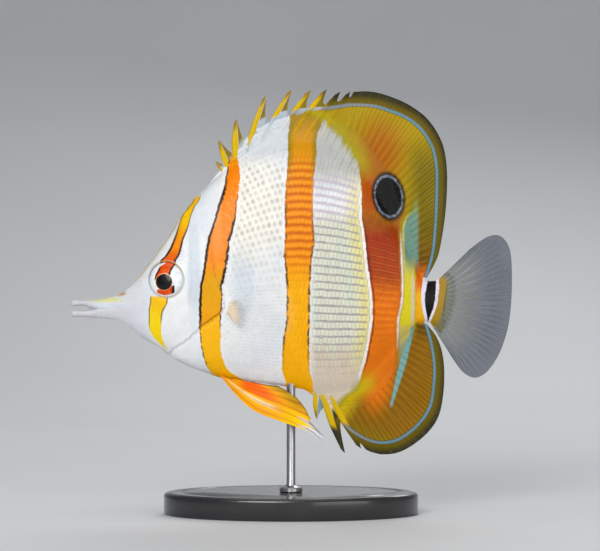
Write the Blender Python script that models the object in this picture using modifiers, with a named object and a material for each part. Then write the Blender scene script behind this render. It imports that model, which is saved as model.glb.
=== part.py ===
"""A copperband butterflyfish, life size, held still by a small display stand.

The fish is modelled in its own frame, in millimetres: x runs back from the snout tip, y to its right
side and z up from the body axis. An empty carries that frame over the stand, head towards -X. The
body is one loft that is parted with thin cuts, and each fin is a membrane with its rays raised in its
own surface. The stand's underside is at z = 0.
"""

import math

import bmesh
import bpy
from mathutils import Matrix, Vector

MM = 0.001
TOTAL_LENGTH = 160.0
AXIS_HEIGHT = 74.5
GAP = 0.3
HALF_GAP = GAP / 2
FIN_GAP = 0.42
FAR = 60.0

# Outlines of the body without its fins, as (x, z)
BACK = (
    (9.4, 2.9), (14.5, 4.0), (18.8, 6.2), (23.2, 9.4), (27.5, 14.5), (31.9, 20.3), (36.2, 26.6),
    (40.5, 34.0), (44.9, 39.5), (49.2, 43.6), (55.0, 48.9), (61.5, 54.2), (69.5, 58.6), (78.9, 60.8),
    (88.7, 60.1), (97.7, 55.7), (105.7, 47.8), (112.9, 37.3), (119.5, 24.6), (124.2, 15.2),
    (128.1, 9.4), (133.2, 9.9),
)
BELLY = (
    (9.4, -3.6), (14.5, -4.0), (18.8, -5.4), (23.2, -8.3), (27.5, -11.6), (31.9, -13.9), (36.2, -17.4),
    (42.7, -21.0), (49.2, -23.5), (55.0, -25.3), (63.3, -26.4), (72.8, -27.6), (83.3, -29.2),
    (89.1, -30.6), (96.0, -31.2), (103.0, -28.4), (109.3, -22.8), (116.6, -14.6), (122.4, -8.6),
    (127.0, -4.9), (133.2, -5.0),
)
# Half of the body's width, and the half thickness kept along its back and belly under the fins
HALF_WIDTH = (
    (9.4, 2.1), (14.5, 2.6), (20.0, 3.6), (26.0, 5.2), (32.0, 7.1), (38.0, 8.4), (45.0, 9.4),
    (52.0, 10.0), (60.0, 10.3), (70.0, 10.3), (80.0, 9.8), (90.0, 8.8), (100.0, 7.4), (110.0, 5.8),
    (118.0, 4.5), (124.0, 3.7), (129.0, 3.1), (133.2, 2.6),
)
BACK_EDGE = ((9.4, 0.0), (50.0, 0.0), (60.0, 1.2), (118.0, 1.1), (126.0, 0.8), (128.5, 0.0), (133.2, 0.0))
BELLY_EDGE = ((9.4, 0.0), (84.0, 0.0), (90.0, 1.2), (118.0, 1.1), (126.0, 0.8), (128.5, 0.0), (133.2, 0.0))
# 1 gives an oval section, more gives one that narrows to the back and belly
SECTION_SHAPE = ((9.4, 0.9), (45.0, 1.0), (66.0, 1.3), (112.0, 1.3), (126.0, 1.0), (133.2, 1.0))
SNOUT_BREAK = 9.4
TAIL_END_TOP, TAIL_END_LOW = 132.9, 130.1
BODY_STATIONS, STALK_STATIONS = 34, 4
BODY_ROWS = 14

# The cut behind the gill covers, from above the nape to below the throat
GILL_LINE = (
    (60.0, 70.0), (55.4, 49.0), (52.6, 34.0), (51.4, 18.0), (53.2, 10.0), (55.2, 5.0), (55.4, 0.0),
    (51.5, -4.0), (47.2, -7.0), (41.5, -12.0), (37.0, -15.0), (34.0, -21.0), (33.0, -40.0),
)
COVER_OUTLINE = (
    (44.8, 16.5), (47.4, 18.6), (50.0, 18.2), (52.0, 14.5), (60.0, 14.5), (60.0, -20.0), (36.0, -20.0),
    (38.2, -14.2), (41.0, -9.6), (43.2, -3.0), (43.9, 5.0), (44.2, 12.0),
)
COVER_DEPTH = 5.0
STALK_TOP, STALK_LOW = 128.3, 127.1

# The eye is a flattened ball sunk in a socket, with a raised ring round it
EYE = (35.1, 10.3)
EYE_RADIUS, EYE_THICKNESS, EYE_SINK = 6.7, 4.2, 2.4
RIM_RADIUS, RIM_BEAD, RIM_SINK = 6.9, 0.75, 0.25
NOSTRILS = ((27.6, 11.0, 0.55), (29.2, 13.0, 0.42))

# The jaws, as (x, top, bottom, half width)
UPPER_JAW = (
    (0.05, 1.9, 1.6, 0.2), (0.5, 2.6, 0.9, 0.9), (1.6, 2.95, 0.55, 1.4), (3.2, 2.75, 0.8, 1.35),
    (5.4, 2.8, 0.75, 1.45), (7.2, 2.85, -0.1, 1.8), (9.1, 2.88, -0.15, 2.05),
)
LOWER_JAW = (
    (0.0, -1.85, -2.2, 0.2), (0.5, -1.0, -3.0, 1.0), (1.6, -0.6, -3.4, 1.5), (3.2, -0.75, -3.2, 1.4),
    (5.4, -0.7, -3.3, 1.5), (7.2, -0.5, -3.45, 1.8), (9.1, -0.48, -3.58, 2.05),
)
JAW_SIDES = 12

# Soft fins: the outer edge, the stretch of back or belly that carries them, and their rays
DORSAL_EDGE = (
    (102.6, 78.2), (108.0, 78.4), (113.1, 77.5), (119.5, 75.1), (124.6, 72.3), (129.2, 68.6),
    (133.0, 63.3), (135.4, 57.5), (136.4, 50.0), (136.4, 42.0), (135.8, 33.7), (134.6, 25.3),
    (132.9, 18.0), (129.2, 10.9),
)
DORSAL_BASE = (97.0, 126.0)
DORSAL_RAYS = 29
ANAL_EDGE = (
    (107.0, -51.2), (109.5, -52.3), (113.3, -53.0), (118.4, -52.4), (123.8, -49.8), (129.4, -45.2),
    (133.2, -39.6), (135.0, -32.2), (135.5, -23.0), (134.6, -15.6), (132.4, -10.0), (129.0, -5.6),
)
ANAL_BASE = (96.6, 126.4)
ANAL_RAYS = 20
TAIL_ROOT = ((133.3, 10.2), (133.9, 6.0), (133.2, 1.6), (132.0, -2.0), (130.3, -5.1))
TAIL_EDGE = (
    (144.8, 21.4), (150.4, 25.4), (154.6, 26.4), (157.6, 24.4), (159.4, 20.2), (160.0, 12.0),
    (159.7, 2.0), (158.4, -7.6), (155.4, -16.4), (151.6, -22.4), (148.0, -25.0), (144.9, -24.9),
    (141.6, -22.6), (138.3, -18.0),
)
TAIL_RAYS = 17
FIN_ROWS = 5
RAY_FOOT = 0.27

# Spines of the back and belly: where each leaves the body, its tip, and the share of its leading
# edge that the membrane ahead of it reaches up
DORSAL_SPINES = (
    (55.4, (52.7, 53.4), 0.0),
    (57.4, (53.9, 61.2), 0.16),
    (60.4, (60.3, 68.6), 0.22),
    (64.2, (71.2, 77.1), 0.16),
    (69.0, (80.3, 79.0), 0.36),
    (74.4, (87.3, 78.9), 0.52),
    (79.8, (93.0, 79.1), 0.62),
    (84.6, (97.9, 78.3), 0.75),
    (89.6, (101.5, 78.3), 0.87),
)
DORSAL_SPINES_END = (96.6, (102.2, 78.1))
ANAL_SPINES = (
    (88.9, (89.5, -40.4), 0.0),
    (91.5, (99.6, -52.6), 0.25),
    (94.3, (105.4, -50.9), 0.52),
)
ANAL_SPINES_END = (96.2, (106.4, -50.9))
SPINE_ROWS = 5
# A full-sized spine's breadth, the drop of its slanted tip and the bow of its leading edge
BLADE, BLADE_TIP, BLADE_BOW = 1.15, 2.0, 0.5
CREST = 0.3
FULL_SPINE = 14.0
WEB_SHARES = (0.35, 0.7)
NOTCH_CLEARANCE = 0.14

# Pelvic fins: each ray from its root out, then the notch of the membrane behind it
PELVIC_RAYS = (
    ((55.0, -25.0), (60.5, -31.5), (67.0, -37.0), (77.0, -40.9), (86.3, -44.4), (91.4, -48.8)),
    ((56.0, -25.2), (62.0, -30.6), (68.6, -35.2), (78.0, -38.8), (87.0, -42.4), (92.3, -47.1)),
    ((57.2, -25.6), (63.2, -29.8), (70.0, -33.2), (77.5, -36.0), (82.5, -38.0), (87.0, -40.2)),
    ((58.4, -25.9), (64.2, -29.0), (70.0, -31.2), (76.0, -33.0), (81.0, -34.8), (85.4, -36.9)),
    ((59.6, -26.1), (65.0, -28.1), (70.0, -29.6), (74.5, -30.5), (78.5, -31.3), (82.0, -32.6)),
    ((61.0, -26.2), (64.5, -27.0), (68.0, -27.8), (70.8, -28.3), (73.4, -28.6), (76.0, -28.9)),
)
PELVIC_NOTCHES = ((86.2, -43.3), (86.5, -41.2), (86.0, -38.5), (83.6, -34.5), (79.3, -30.5))
PELVIC_TRAILING = ((61.8, -26.0), (65.0, -26.7), (68.4, -27.4), (71.0, -27.9), (73.6, -28.2), (75.6, -28.5))
PELVIC_FORK = 4
PELVIC_ROOT_HEIGHT, PELVIC_ROOT_OFFSET = -25.0, 2.5
PELVIC_SPLAY = math.radians(13)
PELVIC_SINK = 2.4
PELVIC_ROWS = 6

# Pectoral fins: the root and the outer edge, seen from the side before the fin leans out
PECTORAL_ROOT = ((57.4, 1.6), (58.3, -1.2), (59.4, -4.0))
PECTORAL_EDGE = (
    (75.0, 9.6), (80.6, 7.4), (83.2, 2.6), (83.6, -3.2), (81.4, -9.6), (76.6, -14.4), (69.6, -15.8),
)
PECTORAL_RAYS = 13
PECTORAL_SPREAD = math.radians(24)
PECTORAL_SINK = 5.0

# Half thicknesses of the fins
MEMBRANE, EDGE = 0.26, 0.25
ROOT_FLESH, TAIL_FLESH, SPINY_FLESH = 1.05, 0.9, 0.48
RAY_ROOT, RAY_RIM = 0.17, 0.14
SPINE_ROOT, SPINE_TIP = 0.75, 0.25
PELVIC_SPINE, PELVIC_RAY, PELVIC_TIP = 0.76, 0.56, 0.22

# The stand
BASE_LENGTH, BASE_WIDTH, BASE_HEIGHT = 92.0, 60.0, 8.0
BASE_SIDES, BASE_ROUNDING = 44, 1.2
ROD_RADIUS, ROD_REACH, ROD_SIDES = 1.6, 3.0, 20
FOOT_RADIUS, FOOT_HEIGHT, FOOT_CHAMFER = 4.2, 1.6, 0.4
MERGE = 0.02


def place(x, y, z):
    """A point of the fish's frame in metres."""
    return Vector((x, y, z)) * MM


def level(table, x):
    """The smooth value of a table at x, without overshoot between its points."""
    xs = [p[0] for p in table]
    ys = [p[1] for p in table]
    if x <= xs[0]:
        return ys[0]
    if x >= xs[-1]:
        return ys[-1]
    slopes = [(ys[k + 1] - ys[k]) / (xs[k + 1] - xs[k]) for k in range(len(xs) - 1)]

    def tangent(k):
        if k in (0, len(xs) - 1):
            return slopes[min(k, len(slopes) - 1)]
        before, after = slopes[k - 1], slopes[k]
        return 0.0 if before * after <= 0 else 2 * before * after / (before + after)

    k = max(i for i in range(len(xs) - 1) if xs[i] <= x)
    width = xs[k + 1] - xs[k]
    t = (x - xs[k]) / width
    return (
        (2 * t**3 - 3 * t**2 + 1) * ys[k]
        + (t**3 - 2 * t**2 + t) * width * tangent(k)
        + (3 * t**2 - 2 * t**3) * ys[k + 1]
        + (t**3 - t**2) * width * tangent(k + 1)
    )


class Path:
    """A smooth line through a few (x, z) points, read by its share of length."""

    def __init__(self, points, steps=10):
        points = [Vector(p) for p in points]
        ends = [2 * points[0] - points[1], *points, 2 * points[-1] - points[-2]]
        self.line = [points[0]]
        for a, b, c, d in zip(ends, ends[1:], ends[2:], ends[3:]):
            for step in range(1, steps + 1):
                t = step / steps
                self.line.append(
                    0.5 * (2 * b + (c - a) * t + (2 * a - 5 * b + 4 * c - d) * t**2
                           + (3 * b - a - 3 * c + d) * t**3)
                )
        self.lengths = [0.0]
        for a, b in zip(self.line, self.line[1:]):
            self.lengths.append(self.lengths[-1] + (b - a).length)

    def at(self, share):
        target = min(max(share, 0.0), 1.0) * self.lengths[-1]
        k = next(i for i in range(1, len(self.lengths)) if self.lengths[i] >= target - 1e-9)
        span = self.lengths[k] - self.lengths[k - 1]
        return self.line[k - 1].lerp(self.line[k], (target - self.lengths[k - 1]) / span)


def straight(root, rim):
    return Path((root, rim), steps=1)


def on_contour(table, x, outward):
    """A point a gap off the back or belly."""
    slope = (level(table, x + 0.1) - level(table, x - 0.1)) / 0.2
    normal = Vector((-slope, 1)).normalized() * outward
    return Vector((x, level(table, x))) + normal * FIN_GAP


def contour(table, first, last, outward):
    """The stretch of the back or belly that carries a fin."""
    return Path([on_contour(table, first + (last - first) * k / 12, outward) for k in range(13)])


def collection(name, parent=None):
    made = bpy.data.collections.new(name)
    (parent or bpy.context.scene.collection).children.link(made)
    return made


def paint(name, colour, roughness, metallic=0.0):
    material = bpy.data.materials.new(name)
    material.use_nodes = True
    shader = material.node_tree.nodes["Principled BSDF"]
    shader.inputs["Base Color"].default_value = (*colour, 1)
    shader.inputs["Roughness"].default_value = roughness
    shader.inputs["Metallic"].default_value = metallic
    return material


def finish(made, home, material=None, parent=None):
    """Puts an object in its collection, with its material and smooth shading."""
    for other in list(made.users_collection):
        other.objects.unlink(made)
    home.objects.link(made)
    made.parent = parent
    if material:
        made.data.materials.append(material)
        made.data.shade_smooth()
        made.data.set_sharp_from_angle(angle=math.radians(40))
    else:
        made.hide_render = True
        made.display_type = "WIRE"
    return made


def fish_part(name, build, home, material=None, matrix=None):
    """An object of the fish whose mesh build(bm) fills, with its faces pointing out."""
    bm = bmesh.new()
    build(bm)
    bmesh.ops.remove_doubles(bm, verts=bm.verts, dist=MERGE * MM)
    bmesh.ops.recalc_face_normals(bm, faces=bm.faces)
    mesh = bpy.data.meshes.new(name)
    bm.to_mesh(mesh)
    bm.free()
    made = bpy.data.objects.new(name, mesh)
    if matrix:
        made.matrix_local = matrix
    return finish(made, home, material, AXIS)


def boolean(target, other, operation, solver="EXACT"):
    """A Boolean of target with an object, or with every object of a collection."""
    modifier = target.modifiers.new(f"{operation.lower()} {other.name}", "BOOLEAN")
    modifier.operation = operation
    modifier.solver = solver
    if isinstance(other, bpy.types.Collection):
        modifier.operand_type = "COLLECTION"
        modifier.collection = other
    else:
        modifier.object = other


def bridge(bm, rings):
    """A loft: faces between rings of equal length, and a cap on each end ring."""
    loops = [[bm.verts.new(p) for p in ring] for ring in rings]
    count = len(loops[0])
    for a, b in zip(loops, loops[1:]):
        for k in range(count):
            bm.faces.new((a[k], a[(k + 1) % count], b[(k + 1) % count], b[k]))
    bm.faces.new(loops[0])
    bm.faces.new(reversed(loops[-1]))


def body_ends(share, grow):
    """The top and bottom of one section; the last ones lean with the end of the tail stalk."""
    low_x = SNOUT_BREAK + (TAIL_END_LOW - SNOUT_BREAK) * share
    top_x = low_x + (TAIL_END_TOP - TAIL_END_LOW) * max(0.0, (share - 0.9) / 0.1) ** 2
    return Vector((top_x, level(BACK, top_x) + grow)), Vector((low_x, level(BELLY, low_x) - grow))


def body_half_width(x, rise, grow=0.0):
    """Half the body's width, rise running from -1 at the belly to 1 at the back."""
    edge = level(BACK_EDGE if rise > 0 else BELLY_EDGE, x)
    crown = max(math.cos(rise * math.pi / 2), 0.0)
    return edge + (level(HALF_WIDTH, x) - edge) * crown ** level(SECTION_SHAPE, x) + grow


def body_ring(share, grow):
    top, low = body_ends(share, grow)
    side = []
    for row in range(BODY_ROWS + 1):
        rise = 2 * row / BODY_ROWS - 1
        point = low.lerp(top, 0.5 + 0.5 * math.sin(rise * math.pi / 2))
        side.append((point.x, body_half_width(point.x, rise, grow), point.y))
    return [place(x, y, z) for x, y, z in side] + [place(x, -y, z) for x, y, z in reversed(side)]


def body_loft(grow=0.0):
    """The whole body, from the snout's break to the end of the tail stalk."""

    def build(bm):
        coarse = [k / BODY_STATIONS for k in range(BODY_STATIONS - STALK_STATIONS)]
        fine = [1 - k / (2 * BODY_STATIONS) for k in range(2 * STALK_STATIONS, -1, -1)]
        bridge(bm, [body_ring(share, grow) for share in coarse + fine])

    return build


def surface_at(x, z):
    """How far the body's side stands out from its middle at (x, z)."""
    top, low = level(BACK, x), level(BELLY, x)
    share = min(max((z - low) / (top - low), 0.0), 1.0)
    return body_half_width(x, math.asin(2 * share - 1) / (math.pi / 2))


def prism(outline, near, far):
    """A flat outline in (x, z) extruded from y = near to y = far."""

    def build(bm):
        face = bm.faces.new([bm.verts.new(place(x, near, z)) for x, z in outline])
        pushed = bmesh.ops.extrude_face_region(bm, geom=[face])["geom"]
        moved = [item for item in pushed if isinstance(item, bmesh.types.BMVert)]
        bmesh.ops.translate(bm, verts=moved, vec=place(0, far - near, 0))

    return build


def widened(outline, distance):
    """A closed outline moved outwards."""
    count = len(outline)
    area = sum(
        outline[k][0] * outline[(k + 1) % count][1] - outline[(k + 1) % count][0] * outline[k][1]
        for k in range(count)
    )
    reach = math.copysign(distance, area)
    moved = []
    for k in range(count):
        before, here, after = (Vector(outline[(k + step) % count]) for step in (-1, 0, 1))
        along = (here - before).normalized() + (after - here).normalized()
        out = Vector((along.y, -along.x))
        moved.append(here + out.normalized() * reach / max(0.4, out.length / 2))
    return moved


def gill_side(ahead):
    """The region ahead of the gill line or behind it, half a gap clear of the line."""
    shift = -HALF_GAP if ahead else HALF_GAP
    line = Path(GILL_LINE)
    edge = [line.at(k / 24) + Vector((shift, 0)) for k in range(25)]
    side = -FAR if ahead else 3 * FAR
    return [*edge, Vector((side, edge[-1].y)), Vector((side, edge[0].y))]


def stalk_region(gap):
    return [(STALK_TOP + gap, FAR), (STALK_LOW + gap, -FAR), (3 * FAR, -FAR), (3 * FAR, FAR)]


def eye_frame(side):
    """The eye's place and turn: its own z axis looks out along the head's surface normal."""
    x, z = EYE
    slope_x = (surface_at(x + 3, z) - surface_at(x - 3, z)) / 6
    slope_z = (surface_at(x, z + 3) - surface_at(x, z - 3)) / 6
    out = Vector((-slope_x, side, -slope_z)).normalized()
    turn = out.to_track_quat("Z", "Y").to_matrix().to_4x4()
    return Matrix.Translation(place(x, side * surface_at(x, z), z)) @ turn


def eyeball(grow):
    """A flattened ball about the eye frame's z axis."""

    def build(bm):
        bmesh.ops.create_uvsphere(bm, u_segments=20, v_segments=10, radius=1)
        wide, thick = (EYE_RADIUS + grow) * MM, (EYE_THICKNESS + grow) * MM
        bmesh.ops.scale(bm, vec=(wide, wide, thick), verts=bm.verts)
        bmesh.ops.translate(bm, vec=place(0, 0, -EYE_SINK), verts=bm.verts)

    return build


def eye_rim(name, side, home):
    """The raised ring round the eye, half sunk in the head."""
    bpy.ops.mesh.primitive_torus_add(
        major_radius=RIM_RADIUS * MM, minor_radius=RIM_BEAD * MM, major_segments=28, minor_segments=6,
    )
    rim = bpy.context.object
    rim.name = f"rim_{name}"
    rim.matrix_local = eye_frame(side) @ Matrix.Translation(place(0, 0, -RIM_SINK))
    finish(rim, home, parent=AXIS)


def nostril(side, x, z, radius):
    def build(bm):
        spot = Matrix.Translation(place(x, side * surface_at(x, z), z))
        bmesh.ops.create_icosphere(bm, subdivisions=1, radius=radius * MM, matrix=spot)

    return build


def jaw(sections):
    def build(bm):
        angles = [2 * math.pi * k / JAW_SIDES for k in range(JAW_SIDES)]
        rings = []
        for x, top, bottom, half in sections:
            middle, tall = (top + bottom) / 2, (top - bottom) / 2
            rings.append([place(x, half * math.cos(a), middle + tall * math.sin(a)) for a in angles])
        bridge(bm, rings)

    return build


def fin_sheet(columns, rows, stand):
    """A fin from columns of (line out from the root, root half, rim half), with two like faces."""

    def face(bm, side):
        grid = []
        for line, root_half, rim_half in columns:
            shares = [row / rows for row in range(rows + 1)]
            halves = [root_half + (rim_half - root_half) * share for share in shares]
            grid.append([bm.verts.new(stand(line.at(s), side * half)) for s, half in zip(shares, halves)])
        for a, b in zip(grid, grid[1:]):
            for k in range(rows):
                bm.faces.new((a[k], b[k], b[k + 1]))
                bm.faces.new((a[k], b[k + 1], a[k + 1]))
        return grid

    def build(bm):
        near, far = face(bm, 1), face(bm, -1)
        for a, b, c, d in zip(near, near[1:], far, far[1:]):
            bm.faces.new((a[0], c[0], d[0], b[0]))
            bm.faces.new((a[-1], b[-1], d[-1], c[-1]))
        for k in range(rows):
            bm.faces.new((near[0][k], near[0][k + 1], far[0][k + 1], far[0][k]))
            bm.faces.new((near[-1][k], far[-1][k], far[-1][k + 1], near[-1][k + 1]))

    return build


def upright(point, offset):
    """A median fin stands in the fish's middle plane."""
    return place(point.x, offset, point.y)


def fan_columns(root, rim, count, flesh, sink=0.0):
    """Columns of a soft fin, each ray a ridge between two feet, its root moved in by sink."""
    shares = [(0, 0)]
    for ray in range(count):
        middle = ray + 0.5
        shares += [((middle + step * RAY_FOOT) / count, 1 - abs(step)) for step in (-1, 0, 1)]
    shares.append((1, 0))
    columns = []
    for share, raised in shares:
        line = straight(root.at(share) - Vector((sink, 0)), rim.at(share))
        columns.append((line, flesh + raised * RAY_ROOT, EDGE + raised * RAY_RIM))
    return columns


def spine_lines(spine, base, outward):
    """The leading edge, crest and trailing edge of a spine, which ends in a slanted tip."""
    x, tip, _ = spine
    tip = Vector(tip)
    along = tip - on_contour(base, x, outward)
    size = min(1.0, along.length / FULL_SPINE)
    up = along.normalized()
    ahead = Vector((-up.y, up.x)) * outward
    lines = []
    for step, bow in ((1, BLADE_BOW), (CREST, BLADE_BOW), (0, 0)):
        root = on_contour(base, x + (BLADE - 2 * BLADE * step) * size, outward)
        rim = tip + (ahead * BLADE - up * BLADE_TIP) * step * size
        middle = root.lerp(rim, 0.5) + ahead * bow * size
        lines.append(Path((root, middle, rim), steps=6))
    return lines


def first_part(line, share):
    """The start of a line, moved ahead a little."""
    ahead = Vector((NOTCH_CLEARANCE, 0))
    steps = 2 * SPINE_ROWS
    return Path([line.at(share * k / steps) - ahead for k in range(steps + 1)], steps=1)


def spiny_columns(spines, base, end, outward):
    """Columns of a spiny fin: a spine, then the membrane behind it down to its notch."""
    lines = [spine_lines(spine, base, outward) for spine in spines]
    last = straight(on_contour(base, end[0], outward), Vector(end[1]))
    columns = []
    for k, (lead, crest, trail) in enumerate(lines):
        bone = SPINE_ROOT * min(1.0, crest.lengths[-1] / FULL_SPINE)
        columns.append((lead, SPINY_FLESH, EDGE))
        columns.append((crest, SPINY_FLESH + bone, SPINE_TIP))
        columns.append((trail, SPINY_FLESH, EDGE))
        if k + 1 < len(lines):
            behind = first_part(lines[k + 1][0], spines[k + 1][2])
        else:
            behind = last
        for share in WEB_SHARES:
            web = straight(trail.at(0).lerp(behind.at(0), share), trail.at(1).lerp(behind.at(1), share))
            columns.append((web, SPINY_FLESH, EDGE))
        columns.append((behind, SPINY_FLESH, EDGE))
    return columns


def pelvic_stand(side):
    """The pelvic fins splay out below the belly."""

    def stand(point, offset):
        drop = max(0.0, PELVIC_ROOT_HEIGHT - point.y)
        out = PELVIC_ROOT_OFFSET + drop * math.tan(PELVIC_SPLAY)
        return place(point.x, side * (out + offset), point.y)

    return stand


def pelvic_columns():
    """The spine and rays of a pelvic fin with the membrane between, each starting inside the body."""

    def sunk(points):
        points = [Vector(p) for p in points]
        return Path([points[0] + (points[0] - points[1]).normalized() * PELVIC_SINK, *points])

    columns = []
    for k, ray in enumerate(PELVIC_RAYS):
        columns.append((sunk(ray), PELVIC_SPINE if k == 0 else PELVIC_RAY, PELVIC_TIP))
        if k < len(PELVIC_NOTCHES):
            sides = zip(ray[:PELVIC_FORK], PELVIC_RAYS[k + 1][:PELVIC_FORK])
            between = [(Vector(a) + Vector(b)) / 2 for a, b in sides]
            columns.append((sunk([*between, PELVIC_NOTCHES[k]]), MEMBRANE, EDGE))
    columns.append((sunk(PELVIC_TRAILING), MEMBRANE, EDGE))
    return columns


def pectoral_stand(side):
    """The pectoral fins lean out from the body's side, hinged along their root."""
    root_x, root_z = PECTORAL_ROOT[1]
    root_y = surface_at(root_x, root_z)
    lean, back = math.sin(PECTORAL_SPREAD), math.cos(PECTORAL_SPREAD)

    def stand(point, offset):
        reach = point.x - root_x
        y = root_y + reach * lean + offset * back
        return place(root_x + reach * back - offset * lean, side * y, point.y)

    return stand


def make_head():
    """The head with its eye rings, less the eye sockets, nostrils and gill cover pockets."""
    head = fish_part("head", body_loft(), FISH, SKIN)
    raised = collection("raised_on_head", CUTTERS)
    openings = collection("openings_in_head", CUTTERS)
    for name, side in SIDES:
        eye_rim(name, side, raised)
        fish_part(f"socket_{name}", eyeball(GAP), openings, matrix=eye_frame(side))
        for k, (x, z, radius) in enumerate(NOSTRILS):
            fish_part(f"nostril_{name}_{k}", nostril(side, x, z, radius), openings)
        pocket = prism(widened(COVER_OUTLINE, GAP), side * (COVER_DEPTH - GAP), side * FAR)
        fish_part(f"pocket_{name}", pocket, openings)
    # The exact solver loses shells of the head and gill covers, so these use the other one
    boolean(head, REGION_AHEAD, "INTERSECT", "MANIFOLD")
    boolean(head, raised, "UNION", "MANIFOLD")
    boolean(head, openings, "DIFFERENCE", "MANIFOLD")


def make_head_pieces():
    for name, side in SIDES:
        cover = fish_part(f"gill_cover_{name}", body_loft(), FISH, SKIN)
        outline = prism(COVER_OUTLINE, side * COVER_DEPTH, side * FAR)
        boolean(cover, fish_part(f"cover_{name}", outline, CUTTERS), "INTERSECT", "MANIFOLD")
        boolean(cover, REGION_AHEAD, "INTERSECT", "MANIFOLD")
        fish_part(f"eye_{name}", eyeball(0), FISH, IRIS, eye_frame(side))
    fish_part("upper_jaw", jaw(UPPER_JAW), FISH, SKIN)
    fish_part("lower_jaw", jaw(LOWER_JAW), FISH, SKIN)


def make_trunk():
    behind = fish_part("region_behind", prism(gill_side(False), -FAR, FAR), CUTTERS)
    torso = fish_part("torso", body_loft(), FISH, SKIN)
    boolean(torso, behind, "INTERSECT")
    boolean(torso, fish_part("stalk_and_gap", prism(stalk_region(0), -FAR, FAR), CUTTERS), "DIFFERENCE")
    stalk = fish_part("tail_stalk", body_loft(), FISH, DARK_BAR)
    boolean(stalk, fish_part("region_stalk", prism(stalk_region(GAP), -FAR, FAR), CUTTERS), "INTERSECT")


def make_median_fins():
    back, belly = contour(BACK, *DORSAL_BASE, 1), contour(BELLY, *ANAL_BASE, -1)
    dorsal = fan_columns(back, Path(DORSAL_EDGE), DORSAL_RAYS, ROOT_FLESH)
    anal = fan_columns(belly, Path(ANAL_EDGE), ANAL_RAYS, ROOT_FLESH)
    tail = fan_columns(Path(TAIL_ROOT), Path(TAIL_EDGE), TAIL_RAYS, TAIL_FLESH)
    fish_part("dorsal_fin", fin_sheet(dorsal, FIN_ROWS, upright), FISH, YELLOW_FIN)
    fish_part("anal_fin", fin_sheet(anal, FIN_ROWS, upright), FISH, YELLOW_FIN)
    fish_part("tail_fin", fin_sheet(tail, FIN_ROWS - 1, upright), FISH, CLEAR_FIN)

    back_spines = spiny_columns(DORSAL_SPINES, BACK, DORSAL_SPINES_END, 1)
    belly_spines = spiny_columns(ANAL_SPINES, BELLY, ANAL_SPINES_END, -1)
    fish_part("dorsal_spines", fin_sheet(back_spines, SPINE_ROWS, upright), FISH, YELLOW_FIN)
    fish_part("anal_spines", fin_sheet(belly_spines, SPINE_ROWS, upright), FISH, YELLOW_FIN)


def make_paired_fins():
    root, rim = Path(PECTORAL_ROOT), Path(PECTORAL_EDGE)
    fan = fan_columns(root, rim, PECTORAL_RAYS, MEMBRANE * 1.6, PECTORAL_SINK)
    for name, side in SIDES:
        pelvic = fin_sheet(pelvic_columns(), PELVIC_ROWS, pelvic_stand(side))
        boolean(fish_part(f"pelvic_fin_{name}", pelvic, FISH, ORANGE_FIN), CLEARANCE, "DIFFERENCE")
        pectoral = fin_sheet(fan, FIN_ROWS - 1, pectoral_stand(side))
        boolean(fish_part(f"pectoral_fin_{name}", pectoral, FISH, CLEAR_FIN), CLEARANCE, "DIFFERENCE")


def make_stand():
    bpy.ops.mesh.primitive_cylinder_add(vertices=BASE_SIDES, radius=0.5, depth=1)
    base = bpy.context.object
    base.name = "stand_base"
    base.data.transform(Matrix.Diagonal((*(place(BASE_LENGTH, BASE_WIDTH, BASE_HEIGHT)), 1)))
    base.location.z = BASE_HEIGHT / 2 * MM
    rounding = base.modifiers.new("rounded edge", "BEVEL")
    rounding.width = BASE_ROUNDING * MM
    rounding.segments = 2
    rounding.limit_method = "ANGLE"
    finish(base, FISH, LACQUER)

    foot = BASE_HEIGHT + GAP
    top = AXIS_HEIGHT + level(BELLY, TOTAL_LENGTH / 2) + ROD_REACH
    shoulder = foot + FOOT_HEIGHT
    profile = (
        (0, top), (ROD_RADIUS, top), (ROD_RADIUS, shoulder), (FOOT_RADIUS - FOOT_CHAMFER, shoulder),
        (FOOT_RADIUS, shoulder - FOOT_CHAMFER), (FOOT_RADIUS, foot), (0, foot),
    )
    line = bpy.data.meshes.new("stand_rod")
    edges = [(k, k + 1) for k in range(len(profile) - 1)]
    line.from_pydata([place(x, 0, z) for x, z in profile], edges, [])
    rod = finish(bpy.data.objects.new("stand_rod", line), FISH, STEEL)
    turn = rod.modifiers.new("turned", "SCREW")
    turn.steps = turn.render_steps = ROD_SIDES
    turn.use_merge_vertices = True
    turn.merge_threshold = MERGE * MM
    boolean(rod, CLEARANCE, "DIFFERENCE")


for leftover in list(bpy.data.objects):
    bpy.data.objects.remove(leftover)

FISH = collection("butterflyfish")
CUTTERS = collection("cutters")
SIDES = (("left", -1), ("right", 1))
SKIN = paint("pearl_skin", (0.86, 0.85, 0.81), 0.35)
DARK_BAR = paint("dark_bar", (0.02, 0.02, 0.025), 0.35)
YELLOW_FIN = paint("yellow_fin", (0.78, 0.55, 0.05), 0.4)
ORANGE_FIN = paint("orange_fin", (0.95, 0.55, 0.04), 0.4)
CLEAR_FIN = paint("clear_fin", (0.55, 0.60, 0.66), 0.3)
IRIS = paint("iris", (0.80, 0.80, 0.78), 0.15)
LACQUER = paint("dark_lacquer", (0.03, 0.03, 0.032), 0.3)
STEEL = paint("polished_rod", (0.7, 0.7, 0.72), 0.25, 1.0)

# The fish's frame: the body axis at the snout tip
AXIS = bpy.data.objects.new("body_axis", None)
AXIS.location = place(-TOTAL_LENGTH / 2, 0, AXIS_HEIGHT)
FISH.objects.link(AXIS)
REGION_AHEAD = fish_part("region_ahead", prism(gill_side(True), -FAR, FAR), CUTTERS)
CLEARANCE = fish_part("body_clearance", body_loft(GAP), CUTTERS)

make_head()
make_head_pieces()
make_trunk()
make_median_fins()
make_paired_fins()
make_stand()
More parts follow.
